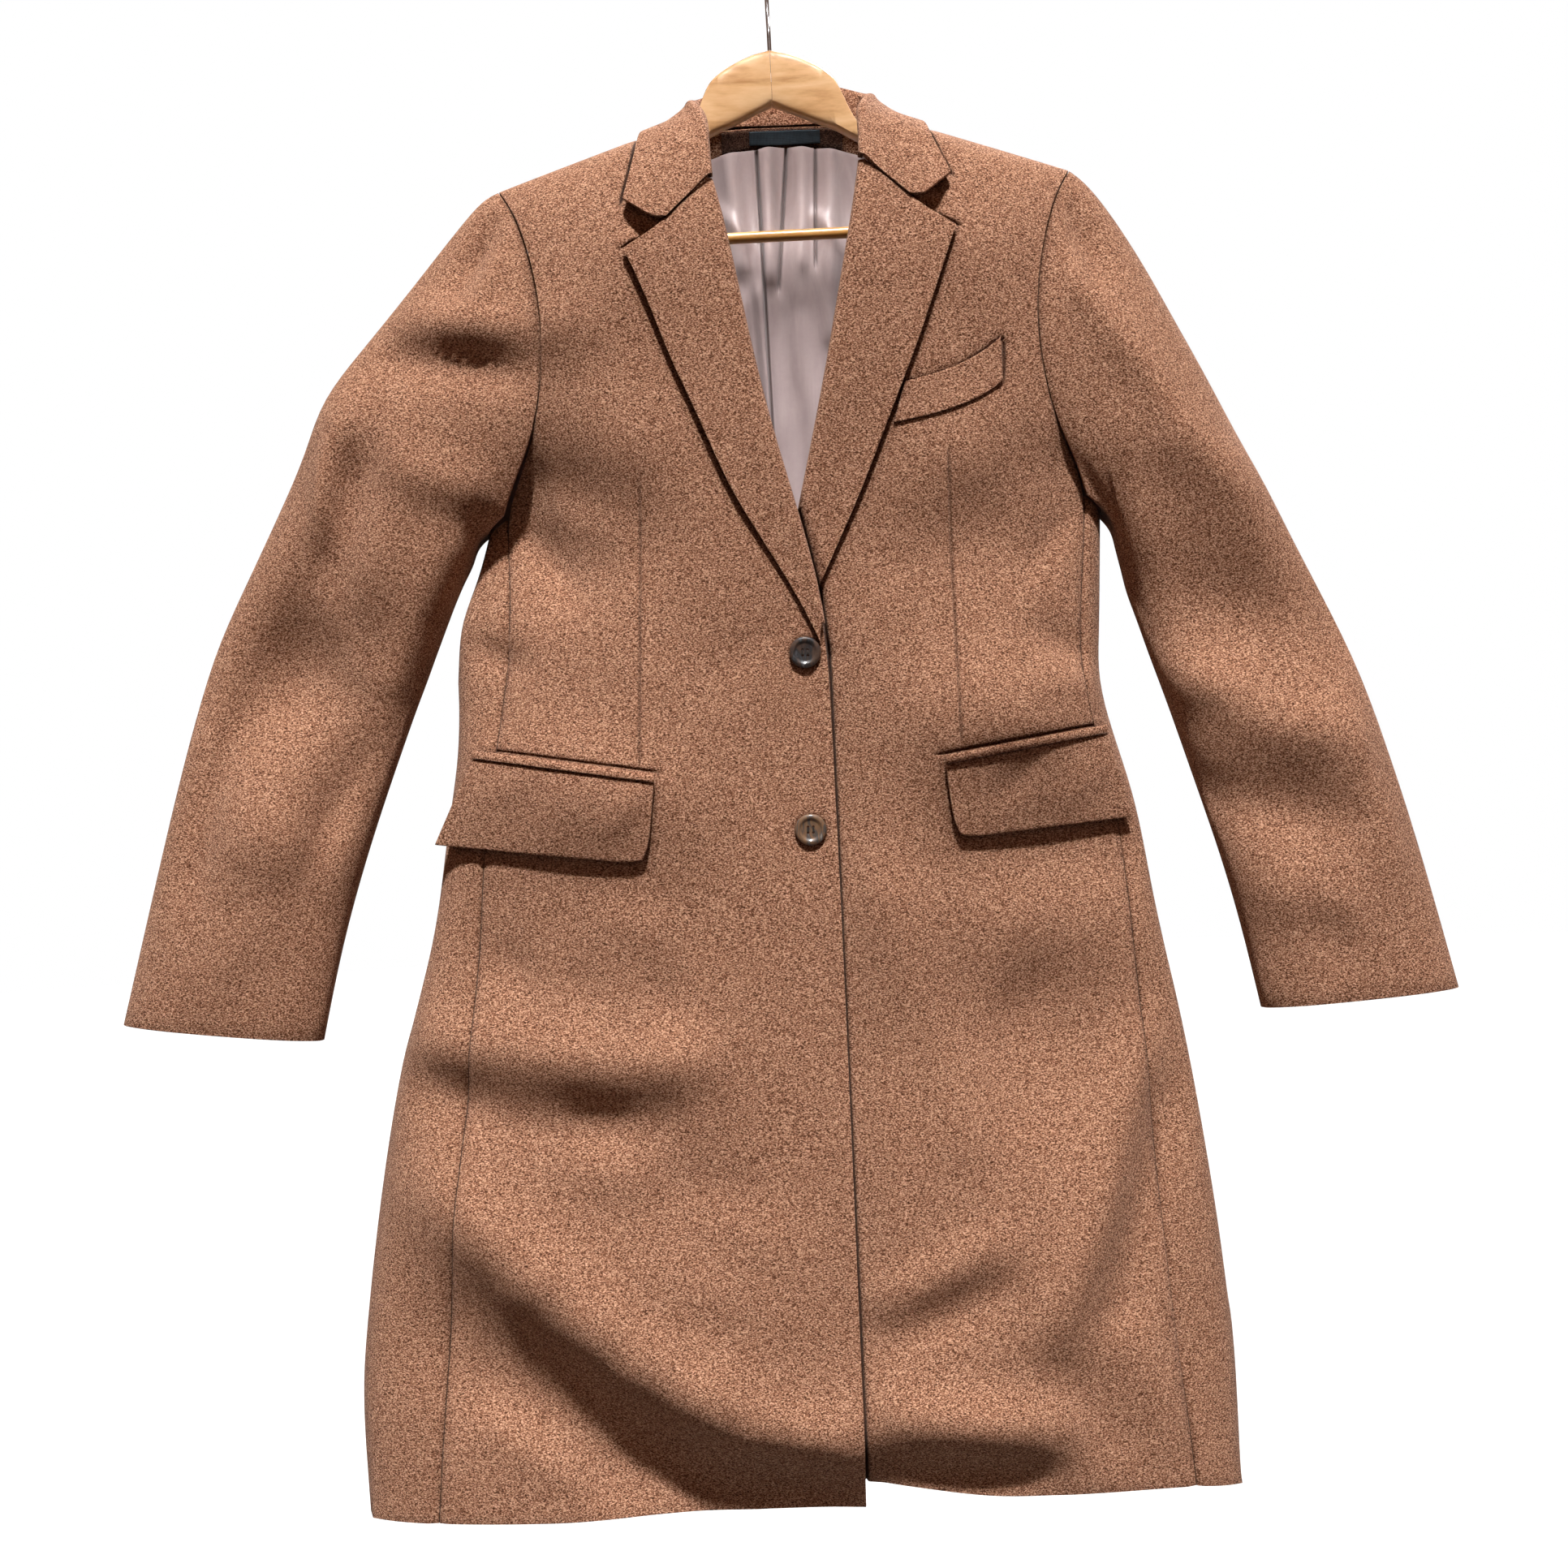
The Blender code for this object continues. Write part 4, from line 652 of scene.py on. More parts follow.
@dataclass(frozen=True)
class Cashmere(Finish):
    """Brushed brown cashmere: lighter tufts over darker gaps, with a soft sheen."""

    name: str = "cashmere"
    gap: Colour = (0.064, 0.021, 0.009, 1.0)
    middle: Colour = (0.308, 0.136, 0.075, 1.0)
    tip: Colour = (0.700, 0.425, 0.285, 1.0)
    patch: Colour = (0.90, 0.86, 0.84, 1.0)
    # The painted shade's colour, for creases and where another edge lies close
    crease: Colour = (0.20, 0.14, 0.11, 1.0)
    sheen: Colour = (1.0, 0.90, 0.83, 1.0)

    def look(self, fill: Nodes, place: Socket) -> dict[str, object]:
        """Fills in the napped cloth, with shade painted into its creases and where another edge touches it.

        Args:
            fill: the material's filler.
            place: the Object coordinates' socket.

        Returns:
            The shader's inputs, by name.
        """
        nap = self.effect(fill, nap_group, place)
        colour = fill.ramp(nap["Shade"], [(0.0, self.gap), (0.5, self.middle), (1.0, self.tip)])
        patches = fill.noise(place, 16.0, detail=3.0, rough=0.55)
        colour = fill.mix(fill.maths("MULTIPLY", patches, 0.35), colour, self.patch, "MULTIPLY")
        return {
            # Shade is painted into the colour in creases and beside other edges
            "Base Color": fill.painted_contact_shade(colour, self.crease, reach=0.009, share=1.7),
            "Normal": fill.bump(nap["Height"], deep=0.0014, strength=0.8),
            "Roughness": 0.95,
            "Specular IOR Level": 0.15,
            "Sheen Weight": 0.10,
            "Sheen Roughness": 0.5,
            "Sheen Tint": self.sheen,
        }


@dataclass(frozen=True)
class Satin(Finish):
    """Pale mauve-taupe satin lining."""

    name: str = "satin"
    shade: Colour = (0.380, 0.292, 0.284, 1.0)
    light: Colour = (0.560, 0.452, 0.444, 1.0)
    # The painted shade's colour, for pleats and where another edge lies close
    crease: Colour = (0.16, 0.11, 0.10, 1.0)

    def look(self, fill: Nodes, place: Socket) -> dict[str, object]:
        """Fills in the satin, watered along its length, with shade painted into its pleats and beside other
        edges.

        Args:
            fill: the material's filler.
            place: the Object coordinates' socket.

        Returns:
            The shader's inputs, by name.
        """
        weave = self.effect(fill, weave_group, place, Threads=900.0)
        water = fill.noise(fill.stretched(place, (1.0, 1.0, 0.16)), 70.0, detail=3.0, rough=0.6, bend=0.8)
        tone = fill.weighed(water, 0.75, weave["Shade"])
        colour = fill.ramp(tone, [(0.25, self.shade), (0.75, self.light)])
        return {
            # Shade is painted into the colour in pleats and beside other edges
            "Base Color": fill.painted_contact_shade(colour, self.crease, reach=0.022, share=1.5),
            "Roughness": fill.maths("MULTIPLY_ADD", water, 0.22, 0.28),
            "Normal": fill.bump(weave["Height"], deep=0.0001, strength=0.35),
            "Sheen Weight": 0.25,
            "Anisotropic": 0.45,
        }


@dataclass(frozen=True)
class WovenLabel(Finish):
    """Dark blue-black ribbed label cloth."""

    name: str = "woven_label"
    dark: Colour = (0.011, 0.023, 0.034, 1.0)
    light: Colour = (0.034, 0.060, 0.082, 1.0)

    def look(self, fill: Nodes, place: Socket) -> dict[str, object]:
        """Fills in the label cloth.

        Args:
            fill: the material's filler.
            place: the Object coordinates' socket.

        Returns:
            The shader's inputs, by name.
        """
        weave = self.effect(fill, weave_group, place, Threads=420.0)
        return {
            "Base Color": fill.ramp(weave["Shade"], [(0.2, self.dark), (0.8, self.light)]),
            "Normal": fill.bump(weave["Height"], deep=0.0003, strength=0.5),
            "Roughness": 0.62,
        }


@dataclass(frozen=True)
class Horn(Finish):
    """Polished dark horn with brown marbling and a pale streak."""

    name: str = "horn"
    dark: Colour = (0.014, 0.015, 0.018, 1.0)
    brown: Colour = (0.075, 0.042, 0.028, 1.0)
    grey: Colour = (0.085, 0.088, 0.095, 1.0)
    pale: Colour = (0.500, 0.380, 0.260, 1.0)

    def look(self, fill: Nodes, place: Socket) -> dict[str, object]:
        """Fills in the horn.

        Args:
            fill: the material's filler.
            place: the Object coordinates' socket.

        Returns:
            The shader's inputs, by name.
        """
        streaks = self.effect(fill, streak_group, place, Stretch=(1.0, 1.0, 0.35), Scale=130.0, Bend=1.6)
        stops = [(0.34, self.dark), (0.46, self.brown), (0.58, self.dark)]
        stops += [(0.68, self.grey), (0.78, self.pale)]
        return {
            "Base Color": fill.ramp(streaks["Broad"], stops),
            "Roughness": fill.maths("MULTIPLY_ADD", streaks["Fine"], 0.18, 0.34),
            "Coat Weight": 0.35,
            "Coat Roughness": 0.12,
        }


@dataclass(frozen=True)
class Wood(Finish):
    """Clear-varnished pale hardwood with its grain along the hanger."""

    name: str = "wood"
    dark: Colour = (0.500, 0.245, 0.090, 1.0)
    middle: Colour = (0.740, 0.435, 0.205, 1.0)
    light: Colour = (0.860, 0.570, 0.310, 1.0)

    def look(self, fill: Nodes, place: Socket) -> dict[str, object]:
        """Fills in the wood.

        Args:
            fill: the material's filler.
            place: the Object coordinates' socket.

        Returns:
            The shader's inputs, by name.
        """
        streaks = self.effect(fill, streak_group, place, Stretch=(0.22, 1.0, 1.0), Scale=62.0, Bend=0.9)
        tone = fill.weighed(streaks["Broad"], 0.7, streaks["Fine"])
        return {
            "Base Color": fill.ramp(tone, [(0.32, self.dark), (0.48, self.middle), (0.66, self.light)]),
            "Roughness": fill.maths("MULTIPLY_ADD", streaks["Fine"], 0.2, 0.28),
            "Normal": fill.bump(streaks["Fine"], deep=0.0002, strength=0.35),
            "Coat Weight": 0.3,
            "Coat Roughness": 0.25,
        }


@dataclass(frozen=True)
class Steel(Finish):
    """Plated drawn wire."""

    name: str = "steel"
    dark: Colour = (0.36, 0.36, 0.37, 1.0)
    light: Colour = (0.62, 0.62, 0.63, 1.0)

    def look(self, fill: Nodes, place: Socket) -> dict[str, object]:
        """Fills in the wire's plating.

        Args:
            fill: the material's filler.
            place: the Object coordinates' socket.

        Returns:
            The shader's inputs, by name.
        """
        streaks = self.effect(fill, streak_group, place, Stretch=(1.0, 0.3, 0.1), Scale=500.0)
        return {
            "Base Color": fill.ramp(streaks["Broad"], [(0.3, self.dark), (0.7, self.light)]),
            "Roughness": fill.maths("MULTIPLY_ADD", streaks["Fine"], 0.25, 0.2),
            "Metallic": 1.0,
        }


@dataclass(frozen=True)
class Thread(Finish):
    """Dark sewing thread."""

    name: str = "thread"
    dark: Colour = (0.012, 0.009, 0.008, 1.0)
    light: Colour = (0.050, 0.036, 0.030, 1.0)

    def look(self, fill: Nodes, place: Socket) -> dict[str, object]:
        """Fills in the twisted thread.

        Args:
            fill: the material's filler.
            place: the Object coordinates' socket.

        Returns:
            The shader's inputs, by name.
        """
        strand = {"Vector": place, "Scale": 900.0}
        twist = fill.add("ShaderNodeTexWave", strand, bands_direction="DIAGONAL").outputs["Fac"]
        return {
            "Base Color": fill.ramp(twist, [(0.2, self.dark), (0.8, self.light)]),
            "Normal": fill.bump(twist, deep=0.0002, strength=0.6),
            "Roughness": 0.75,
        }


CASHMERE, SATIN, LABEL_CLOTH = Cashmere(), Satin(), WovenLabel()
HORN, WOOD, STEEL, THREAD = Horn(), Wood(), Steel(), Thread()
# The neck facing's strip, painted dark for the shade that the hanger and collar cast over it
PAINTED_SHADE_CASHMERE = Cashmere(kind="_painted_shade", gap=(0.026, 0.010, 0.006, 1.0), middle=(0.075, 0.034, 0.021, 1.0),
                         tip=(0.150, 0.082, 0.055, 1.0))
PALE_HORN = Horn(kind="_pale", dark=(0.060, 0.052, 0.048, 1.0), brown=(0.200, 0.105, 0.050, 1.0),
                 grey=(0.190, 0.175, 0.168, 1.0), pale=(0.520, 0.400, 0.290, 1.0))
BAR_WOOD = Wood(kind="_bar", dark=(0.460, 0.200, 0.045, 1.0), middle=(0.640, 0.310, 0.080, 1.0),
                light=(0.840, 0.520, 0.200, 1.0))


def clean_copy(node: str) -> bmesh.types.BMesh:
    """Copies a solid's mesh, joined up and with its triangles paired into quads.

    Args:
        node: the solid's name.

    Returns:
        The new mesh, to be freed by the caller.
    """
    mesh = bmesh.new()
    mesh.from_mesh(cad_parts[node].data)
    bmesh.ops.remove_doubles(mesh, verts=mesh.verts[:], dist=MERGE)
    bmesh.ops.join_triangles(mesh, faces=mesh.faces[:], angle_face_threshold=QUAD_FLAT,
                             angle_shape_threshold=QUAD_SHAPE)
    return mesh


def rims(mesh: bmesh.types.BMesh) -> list[bmesh.types.BMEdge]:
    """Gives the edges where a wall turns over its rim."""
    return [e for e in mesh.edges if len(e.link_faces) == 2 and e.calc_face_angle() > RIM_ANGLE]


def rounded(mesh: bmesh.types.BMesh, rim: float, segments: int) -> list[bmesh.types.BMFace]:
    """Rounds a mesh's rims by so many millimetres and gives the new faces."""
    return bmesh.ops.bevel(mesh, geom=rims(mesh), offset=rim * MM, offset_type="OFFSET", segments=segments,
                           profile=0.5, affect="EDGES", material=-1, clamp_overlap=True)["faces"]


def mark_wrong_side(mesh: bmesh.types.BMesh, is_inside: Callable[[bmesh.types.BMFace], bool]) -> None:
    """Gives the second material to the larger face of a wall that looks inwards.

    Args:
        mesh: the coarse wall, whose two sides are parted by its rim.
        is_inside: tells whether a face looks inwards.
    """
    edge_of_side = set(rims(mesh))
    left = set(mesh.faces)
    sides = []
    while left:
        side = [left.pop()]
        for face in side:
            for edge in face.edges:
                if edge not in edge_of_side:
                    near = [f for f in edge.link_faces if f in left]
                    left.difference_update(near)
                    side.extend(near)
        sides.append(side)
    sides.sort(key=lambda side: sum(f.calc_area() for f in side), reverse=True)
    wrong = max(sides[:2], key=lambda side: sum(f.calc_area() for f in side if is_inside(f)))
    for face in mesh.faces:
        face.material_index = 0
    for face in wrong:
        face.material_index = 1


def new_piece(name: str, mesh: bmesh.types.BMesh) -> bpy.types.Object:
    """Makes a smooth-shaded object at the origin and frees the mesh.

    Args:
        name: the piece's name.
        mesh: its geometry in the row frame.

    Returns:
        The linked object.
    """
    data = bpy.data.meshes.new(name)
    for face in mesh.faces:
        face.smooth = True
    mesh.to_mesh(data)
    mesh.free()
    piece = bpy.data.objects.new(name, data)
    bpy.context.scene.collection.objects.link(piece)
    return piece


def applied(piece: bpy.types.Object) -> bpy.types.Mesh:
    """Gives a new mesh of a piece with its modifiers applied."""
    bpy.context.view_layer.update()
    return bpy.data.meshes.new_from_object(piece.evaluated_get(bpy.context.evaluated_depsgraph_get()))


def rim_turn(vert: bmesh.types.BMVert, layer: object) -> float:
    """Gives how sharply the rim turns at a point of it, in radians."""
    ways = [(e.other_vert(vert).co - vert.co) for e in vert.link_edges if e[layer] > 0.5]
    return math.pi - ways[0].angle(ways[1], math.pi) if len(ways) == 2 else 0.0


def subdivided(mesh: bmesh.types.BMesh, levels: int) -> bmesh.types.BMesh:
    """Subdivides a mesh and keeps its rims sharp.

    Args:
        mesh: the coarse mesh, which is freed.
        levels: how many times each face is halved.

    Returns:
        The finer mesh.
    """
    layer = mesh.edges.layers.float.new("crease_edge")
    points = mesh.verts.layers.float.new("crease_vert")
    corners: dict[bmesh.types.BMVert, int] = {}
    for edge in rims(mesh):
        edge[layer] = 1.0
        for vert in edge.verts:
            corners[vert] = corners.get(vert, 0) + 1
    for vert, count in corners.items():
        if count > 2 or rim_turn(vert, layer) > KINK_ANGLE:
            vert[points] = 1.0
    rough = new_piece("rough_cloth", mesh)
    finer = rough.modifiers.new("finer", "SUBSURF")
    finer.levels = finer.render_levels = levels
    data = applied(rough)
    result = bmesh.new()
    result.from_mesh(data)
    bpy.data.meshes.remove(data)
    bpy.data.meshes.remove(rough.data)
    return result


@dataclass(frozen=True)
class Taper:
    """How the lower end of a lapel narrows into the front edge, in millimetres."""

    top: float
    length: float
    drop: float
    edge_x: float
    pull: float

    def place(self, co: Vector) -> Vector:
        """Gives where a point of the lapel comes to lie.

        Args:
            co: the point in the row frame, in metres.

        Returns:
            The moved point.
        """
        x, height = coat_point(co)
        share = min(1.0, max(0.0, (self.top - height) / self.length)) ** 2
        return co + Vector((share * self.pull * (self.edge_x - x), 0.0, -share * self.drop)) * MM


@dataclass
class ClothPiece:
    """One cut piece of cloth that stands for its solid."""

    node: str
    flat: tuple[float, float]
    area: float
    finish: Finish = CASHMERE
    side: Side = Side.FRONT
    lining: Lining = Lining.NONE
    drape: Drape = BODY_DRAPE
    darts: tuple[Dart, ...] = ()
    seam: Seam | None = None
    levels: int = 2
    rim: float = 0.8
    facing_width: float = 82.0
    hem_turn: float = 38.0
    lining_top: float = 920.0
    lift: float = 0.0
    tuck: float = 0.0
    lift_heights: tuple[float, float] = (-2.0, -1.0)
    taper: Taper | None = None

    def sewn_darts(self, mesh: bmesh.types.BMesh) -> None:
        """Cuts and presses each dart's groove into the wall.

        Args:
            mesh: the piece's geometry.
        """
        for dart in self.darts:
            start = COAT_PLACE + Vector((dart.x1, 0.0, dart.height1)) * MM
            end = COAT_PLACE + Vector((dart.x2, 0.0, dart.height2)) * MM
            across = (end - start).cross(Vector((0.0, 1.0, 0.0))).normalized()
            for cut in dart.cuts:
                near = [f for f in mesh.faces if dart.gap(*coat_point(f.calc_center_median())) < CUT_REACH]
                edges = {e for f in near for e in f.edges}
                verts = {v for f in near for v in f.verts}
                bmesh.ops.bisect_plane(mesh, geom=list(verts) + list(edges) + near, dist=CUT_SNAP,
                                       plane_co=start + across * cut * MM, plane_no=across)
            for vert in mesh.verts:
                where = coat_point(vert.co)
                if dart.gap(*where) < PRESS_REACH:
                    vert.co.y += dart.depth_at(*where) * MM

    def pressed_seam(self, mesh: bmesh.types.BMesh) -> None:
        """Presses the seam's groove along the front face of the wall.

        Args:
            mesh: the piece's geometry.
        """
        for vert in mesh.verts:
            if vert.co.y < SEAM_FRONT:
                vert.co.y += self.seam.depth_at(*coat_point(vert.co)) * MM

    def stand_off(self, co: Vector) -> float:
        """Gives how far a point stands off what the piece lies on.

        Args:
            co: the point in the row frame, in metres.

        Returns:
            The move towards the front in metres, below zero where the piece is tucked in.
        """
        full = smooth_share(*self.lift_heights, coat_point(co)[1])
        share = smooth_share(LIFT_FROM, LIFT_FULL, -co.y)
        return share * (self.lift * full - self.tuck * (1.0 - full)) * MM

    def is_inside(self, face: bmesh.types.BMFace) -> bool:
        """Tells whether a face is on the cloth's wrong side."""
        middle = face.calc_center_median()
        if self.side is Side.FRONT:
            return face.normal.y > INSIDE_FACING
        if self.side is Side.BACK:
            return face.normal.y < -INSIDE_FACING
        depth = (MID_DEPTH * MM - middle.y) * DEPTH_WEIGHT
        inwards = Vector((COAT_PLACE.x - middle.x, depth, 0.0)).normalized()
        return face.normal.dot(inwards) > INSIDE_FACING

    def is_lined(self, face: bmesh.types.BMFace) -> bool:
        """Tells whether the lining covers a face."""
        if self.lining is Lining.NONE or not face.material_index:
            return False
        x, height = coat_point(face.calc_center_median())
        if self.lining is Lining.FACED:
            return abs(x) > self.facing_width and self.hem_turn < height < self.lining_top
        return self.hem_turn < height < self.lining_top

    def build(self) -> bpy.types.Object:
        """Returns:
            The finished object.
        """
        mesh = clean_copy(self.node)
        mark_wrong_side(mesh, self.is_inside)
        if self.taper is not None:
            for vert in mesh.verts:
                vert.co = self.taper.place(vert.co)
        mesh = subdivided(mesh, self.levels)
        for face in rounded(mesh, self.rim, segments=2):
            face.material_index = 0
        self.sewn_darts(mesh)
        if self.seam is not None:
            self.pressed_seam(mesh)
        for vert in mesh.verts:
            vert.co.y += self.drape.offset(vert.co) - self.stand_off(vert.co)
        mesh.normal_update()
        for face in mesh.faces:
            face.material_index = 1 if self.is_lined(face) else 0
        piece = new_piece(f"{self.node}_cloth", mesh)
        piece.data.materials.append(self.finish.material())
        if self.lining is not Lining.NONE:
            piece.data.materials.append(SATIN.material())
        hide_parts(self.node)
        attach(piece, BODY)
        return piece

    def declare(self, piece: bpy.types.Object, holders: list[str]) -> None:
        """Does nothing: what cut of cloth the piece is and what it hangs from is not said."""


@dataclass
class Garment:
    """A sub-assembly of cut cloth pieces that hang from the same solids."""

    name: str
    holders: list[str]
    cloths: list[ClothPiece]

    def build(self) -> None:
        """Builds every piece of the sub-assembly and reports it."""
        for cloth in self.cloths:
            piece = cloth.build()
            cloth.declare(piece, self.holders)
            LOG.info("%s: %s, %d faces", self.name, piece.name, len(piece.data.polygons))


def body_panels() -> Garment:
    """Gives the fronts, the side panels and the back."""
    front = {"lining": Lining.FACED, "rim": 1.1}
    panel = {"lining": Lining.FULL, "rim": 1.1}
    return Garment("body", ARMS, [
        ClothPiece("front_right", (0.33, 0.96), 0.208, drape=RIGHT_DRAPE, darts=RIGHT_DARTS,
                   seam=RIGHT_SEAM, **front),
        ClothPiece("front_left", (0.30, 0.95), 0.195, drape=LEFT_DRAPE, darts=LEFT_DARTS,
                   seam=LEFT_SEAM, **front),
        ClothPiece("side_panel_right", (0.16, 0.68), 0.080, side=Side.ROUND, seam=RIGHT_SEAM, **panel),
        ClothPiece("side_panel_left", (0.13, 0.68), 0.064, side=Side.ROUND, seam=LEFT_SEAM, **panel),
        ClothPiece("back", (0.56, 0.96), 0.380, side=Side.BACK, **panel),
    ])


def sleeves() -> Garment:
    """Gives the two-piece sleeves."""
    sleeve = {"drape": SLEEVE_DRAPE, "lining": Lining.FULL, "hem_turn": 372.0}
    return Garment("sleeves", ARMS, [
        ClothPiece("sleeve_upper_right", (0.215, 0.60), 0.0956, **sleeve),
        ClothPiece("sleeve_upper_left", (0.20, 0.60), 0.0868, **sleeve),
        ClothPiece("sleeve_under_right", (0.20, 0.57), 0.0816, side=Side.BACK, **sleeve),
        ClothPiece("sleeve_under_left", (0.19, 0.57), 0.0727, side=Side.BACK, **sleeve),
    ])


def collar_and_lapels() -> Garment:
    """Gives the collar and the two lapels."""
    lapel = {"rim": 1.2, "lift_heights": (612.0, 720.0)}
    tail = Taper(top=645.0, length=52.0, drop=13.0, edge_x=17.5, pull=0.55)
    return Garment("collar", ["front_right_cloth", "front_left_cloth", "back_cloth"], [
        ClothPiece("lapel_right", (0.08, 0.305), 0.0147, lift=1.3, tuck=1.0, taper=tail,
                   darts=(GORGE,), **lapel),
        ClothPiece("lapel_left", (0.085, 0.30), 0.0157, lift=0.8, darts=(LAPEL_FOOT,), **lapel),
        ClothPiece("collar", (0.40, 0.085), 0.0247, side=Side.ROUND, rim=1.2, lift=2.2),
    ])


def pockets() -> Garment:
    """Gives the flaps, their jets and the breast welt."""
    return Garment("pockets", ["front_right_cloth", "front_left_cloth"], [
        ClothPiece("pocket_flap_right", (0.15, 0.062), 0.0085, rim=1.2, lift=-1.2),
        ClothPiece("pocket_flap_left", (0.13, 0.058), 0.0070, rim=1.2, lift=-1.2),
        ClothPiece("pocket_jet_right", (0.124, 0.0105), 0.0009, rim=0.8, lift=1.7),
        ClothPiece("pocket_jet_left", (0.114, 0.0105), 0.0008, rim=0.8, lift=1.7),
        ClothPiece("breast_welt", (0.080, 0.032), 0.0022, rim=0.8, lift=-1.5),
    ])


def inside() -> Garment:
    """Gives the back lining, the neck facing and the bare label."""
    return Garment("inside", ["back_cloth"], [
        ClothPiece("back_lining", (0.32, 0.91), 0.248, finish=SATIN, drape=LINING_DRAPE,
                   darts=LINING_PLEATS, levels=3, rim=0.3),
        # The neck facing is painted dark for the shade it lies in under the hanger
        ClothPiece("neck_facing", (0.088, 0.018), 0.0012, finish=PAINTED_SHADE_CASHMERE, drape=STILL, rim=0.5),
        ClothPiece("label", (0.050, 0.0115), 0.0005, finish=LABEL_CLOTH, drape=STILL, rim=0.2),
    ])


@dataclass
class Button:
    """A dished four-hole button with its thread."""

    node: str
    finish: Finish = HORN
    thick: float = 3.4
    seat: float = 0.9
    hole_radius: float = 0.95
    hole_place: float = 1.75
    dish: float = 1.25
    strand_places: tuple[float, ...] = (-0.4, 0.0, 0.4)
    strand_size: tuple[float, float] = (0.26, 0.42)
    strand_over: float = 0.35
    turns: int = 64
    sharp: float = math.radians(40)

    def disc(self) -> bmesh.types.BMesh:
        """Spins the button's section about its own axis, facing -Y at the origin.

        Returns:
            The closed body, in metres.
        """
        half = self.thick / 2
        section = [
            (0.0, -half + 1.3), (5.4, -half + self.dish), (6.5, -half + 1.05), (7.3, -half + 0.3),
            (8.1, -half), (9.3, -half + 0.12), (10.1, -half + 0.7), (10.5, 0.0), (10.0, half - 0.7),
            (8.4, half - 0.12), (6.0, half), (0.0, half),
        ]
        mesh = bmesh.new()
        verts = [mesh.verts.new((x * MM, y * MM, 0.0)) for x, y in section]
        edges = [mesh.edges.new(pair) for pair in zip(verts, verts[1:])]
        bmesh.ops.spin(mesh, geom=verts + edges, cent=(0, 0, 0), axis=(0, 1, 0), angle=math.tau,
                       steps=self.turns, use_merge=True)
        bmesh.ops.remove_doubles(mesh, verts=mesh.verts[:], dist=MERGE)
        bmesh.ops.recalc_face_normals(mesh, faces=mesh.faces[:])
        return mesh

    def drilled(self, disc: bpy.types.Object) -> None:
        """Drills the four holes through the disc.

        Args:
            disc: the button's body.
        """
        holes = bmesh.new()
        for x in (-self.hole_place, self.hole_place):
            for z in (-self.hole_place, self.hole_place):
                place = Matrix.Translation((x * MM, 0.0, z * MM)) @ Matrix.Rotation(math.pi / 2, 4, "X")
                radius = self.hole_radius * MM
                bmesh.ops.create_cone(holes, cap_ends=True, segments=20, radius1=radius, radius2=radius,
                                      depth=self.thick * 2 * MM, matrix=place)
        drill = new_piece("drill", holes)
        cut = disc.modifiers.new("holes", "BOOLEAN")
        cut.object, cut.operation, cut.solver = drill, "DIFFERENCE", "EXACT"
        data = applied(disc)
        disc.modifiers.clear()
        disc.data = data
        bpy.data.objects.remove(drill)

    def thread(self) -> bmesh.types.BMesh:
        """Makes the two stitches that lie over the holes, each of three strands.

        Returns:
            The strands, facing -Y about the origin.
        """
        mesh = bmesh.new()
        face = -self.thick / 2 + self.dish
        wide, deep = self.strand_size
        shape = Matrix.Diagonal((wide * MM, deep * MM, (self.hole_place + self.strand_over) * MM, 1.0))
        for x in (-self.hole_place, self.hole_place):
            for strand in self.strand_places:
                place = Matrix.Translation(((x + strand) * MM, face * MM, 0.0)) @ shape
                bmesh.ops.create_uvsphere(mesh, u_segments=10, v_segments=8, radius=1.0, matrix=place)
        return mesh

    def build(self, drape: Drape) -> None:
        """Builds the button and its thread where the solid is.

        Args:
            drape: how the cloth under the button is moved.
        """
        low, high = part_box(self.node)
        middle = (low + high) / 2
        back = drape.offset(middle) + self.seat * MM
        shift = Matrix.Translation(middle + Vector((0.0, back, 0.0)))
        disc = new_piece(f"{self.node}_disc", self.disc())
        self.drilled(disc)
        strands = new_piece(f"{self.node}_thread", self.thread())
        for piece, finish in ((disc, self.finish), (strands, THREAD)):
            piece.data.transform(shift)
            piece.data.materials.clear()
            piece.data.materials.append(finish.material())
            for face in piece.data.polygons:
                face.use_smooth = True
            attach(piece, BODY)
        disc.data.set_sharp_from_angle(angle=self.sharp)
        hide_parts(self.node)
        LOG.info("button: %s", disc.name)


@dataclass
class Hanger:
    """The wooden hanger: two arms, the trouser bar and the wire hook."""

    arm_rim: float = 1.6
    bar_rim: float = 0.6
    levels: int = 2

    def part(self, node: str, finish: Finish, rim: float) -> bpy.types.Object:
        """Makes a smooth copy of one of the hanger's solids.

        Args:
            node: the solid's name.
            finish: its finish.
            rim: how far its sharp edges are rounded, in millimetres.

        Returns:
            The finished piece.
        """
        mesh = subdivided(clean_copy(node), self.levels)
        if rim > 0.0:
            rounded(mesh, rim, segments=3)
        piece = new_piece(f"{node}_smooth", mesh)
        piece.data.materials.append(finish.material())
        # The hanger's shadow would fall over the lining as a jagged band
        piece.visible_shadow = False
        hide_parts(node)
        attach(piece, BODY)
        LOG.info("hanger: %s, %d faces", piece.name, len(piece.data.polygons))
        return piece

    def build(self) -> None:
        """Builds every part of the hanger."""
        self.part("hanger_arm_right", WOOD, self.arm_rim)
        self.part("hanger_arm_left", WOOD, self.arm_rim)
        self.part("trouser_bar", BAR_WOOD, self.bar_rim)
        self.part("hook", STEEL, 0.0)


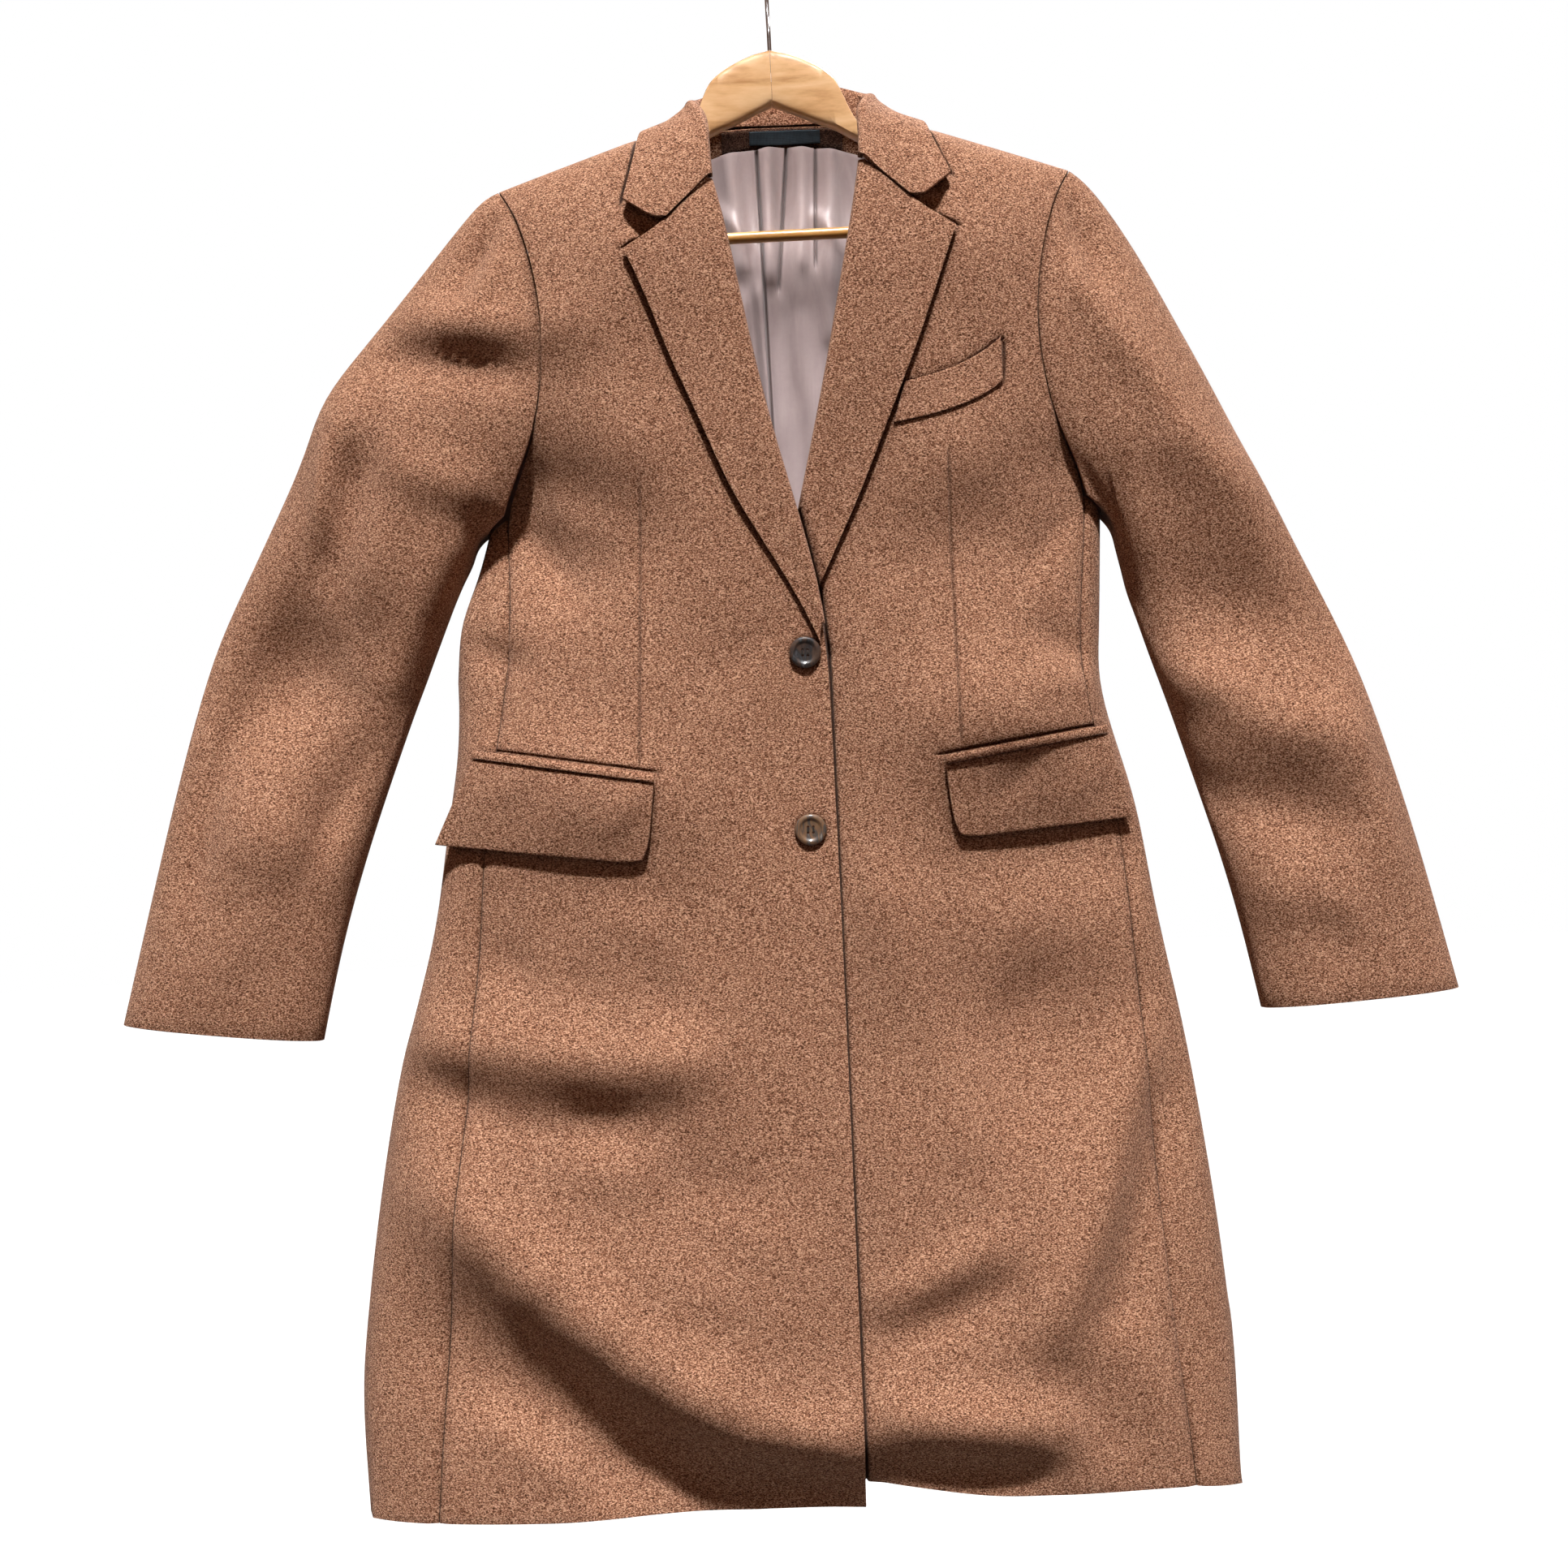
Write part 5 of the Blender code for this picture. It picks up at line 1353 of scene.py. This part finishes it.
@dataclass
class Studio:
    """The plain pale floor, the soft light and the camera."""

    camera_place: tuple[float, float, float] = (-0.0086, -1.5, -0.561)
    camera_roll: float = -2.2
    lens: float = 50.3
    floor_height: float = -1.36
    floor_radius: float = 9.0
    floor_glow: float = 0.94
    world_light: float = 0.18
    key_aim: tuple[float, float, float] = (-0.02, 0.0, -0.64)
    key_from: tuple[float, float, float] = (0.04, -0.56, 1.0)
    key_far: float = 8.0
    key_reach: float = 0.42
    key_power: float = 54000.0
    back_from: tuple[float, float, float] = (0.3, 0.8, 0.8)
    back_strength: float = 3.0
    softness: float = math.radians(14)
    fill_colour: Colour = (1.0, 0.50, 0.27, 1.0)
    floor_dark: Colour = (0.09, 0.09, 0.09, 1.0)
    floor_light: Colour = (0.11, 0.11, 0.11, 1.0)

    def floor_look(self, fill: Nodes, place: Socket) -> dict[str, object]:
        """Fills in the floor, which is dark to the light and pale to the camera.

        Args:
            fill: the material's filler.
            place: the Object coordinates' socket.

        Returns:
            The shader's inputs, by name.
        """
        grain = fill.noise(place, 40.0, detail=4.0)
        seen = fill.add("ShaderNodeLightPath").outputs["Is Camera Ray"]
        return {
            "Base Color": fill.ramp(grain, [(0.0, self.floor_dark), (1.0, self.floor_light)]),
            "Roughness": 0.9,
            "Emission Color": WHITE,
            "Emission Strength": fill.maths("MULTIPLY", seen, self.floor_glow),
        }

    def floor(self) -> None:
        """Makes the floor as a wide disc."""
        mesh = bmesh.new()
        bmesh.ops.create_circle(mesh, cap_ends=True, segments=96, radius=self.floor_radius,
                                matrix=Matrix.Translation((0.0, 0.0, self.floor_height)))
        floor = new_piece("floor", mesh)
        floor.data.materials.append(new_material("pale_floor", self.floor_look))

    def world(self) -> None:
        """Makes a plain white surround, dimmer as a light than as a backdrop."""
        world = bpy.data.worlds.new("surround")
        bpy.context.scene.world = world
        world.use_nodes = True
        fill = Nodes(world.node_tree)
        backdrop = world.node_tree.nodes["Background"]
        fill.feed(backdrop, {"Color": WHITE, "Strength": 1.0})
        light = fill.add("ShaderNodeBackground", {"Color": self.fill_colour, "Strength": self.world_light})
        seen = fill.add("ShaderNodeLightPath").outputs["Is Camera Ray"]
        both = fill.add("ShaderNodeMixShader", {0: seen, 1: light.outputs[0], 2: backdrop.outputs[0]})
        fill.feed(world.node_tree.nodes["World Output"], {"Surface": both.outputs[0]})

    def lamp(self, data: bpy.types.Light, place: Vector, towards: Vector) -> None:
        """Puts a lamp in place.

        Args:
            data: the lamp's light.
            place: where it stands.
            towards: the way from what it lights to the lamp.
        """
        lamp = bpy.data.objects.new(data.name, data)
        lamp.location = place
        lamp.rotation_euler = (-towards).to_track_quat("-Z", "Y").to_euler()
        bpy.context.scene.collection.objects.link(lamp)

    def key_light(self) -> None:
        """Adds the soft lamp over the front, which fades towards the sleeves."""
        data = bpy.data.lights.new("key", "SPOT")
        data.energy = self.key_power
        data.shadow_soft_size = self.key_far * math.tan(self.softness / 2)
        data.spot_size = 2.0 * math.atan(self.key_reach / self.key_far)
        data.spot_blend = 1.0
        towards = Vector(self.key_from).normalized()
        self.lamp(data, Vector(self.key_aim) + towards * self.key_far, towards)

    def back_light(self) -> None:
        """Adds the far soft light behind the coat."""
        data = bpy.data.lights.new("back_light", "SUN")
        data.energy, data.angle = self.back_strength, self.softness
        self.lamp(data, Vector(), Vector(self.back_from))

    def camera(self) -> None:
        """Makes the camera at the photograph's viewing angle."""
        data = bpy.data.cameras.new("camera")
        data.lens, data.sensor_width = self.lens, 36.0
        camera = bpy.data.objects.new("camera", data)
        camera.matrix_world = (Matrix.Translation(self.camera_place) @ Matrix.Rotation(math.pi / 2, 4, "X")
                               @ Matrix.Rotation(math.radians(self.camera_roll), 4, "Z"))
        bpy.context.scene.collection.objects.link(camera)
        bpy.context.scene.camera = camera

    def build(self) -> None:
        """Builds the whole studio."""
        bpy.context.scene.view_settings.view_transform = "Standard"
        self.camera()
        self.floor()
        self.world()
        self.key_light()
        self.back_light()


def main() -> None:
    """Builds the studio and every sub-assembly in order."""
    logging.basicConfig(level=logging.INFO, format="%(name)s: %(message)s")
    Studio().build()
    for garment in (body_panels(), sleeves(), collar_and_lapels(), pockets(), inside()):
        garment.build()
    Button("button_upper").build(BODY_DRAPE)
    Button("button_lower", PALE_HORN).build(BODY_DRAPE)
    Hanger().build()


if __name__ == "__main__":
    main()
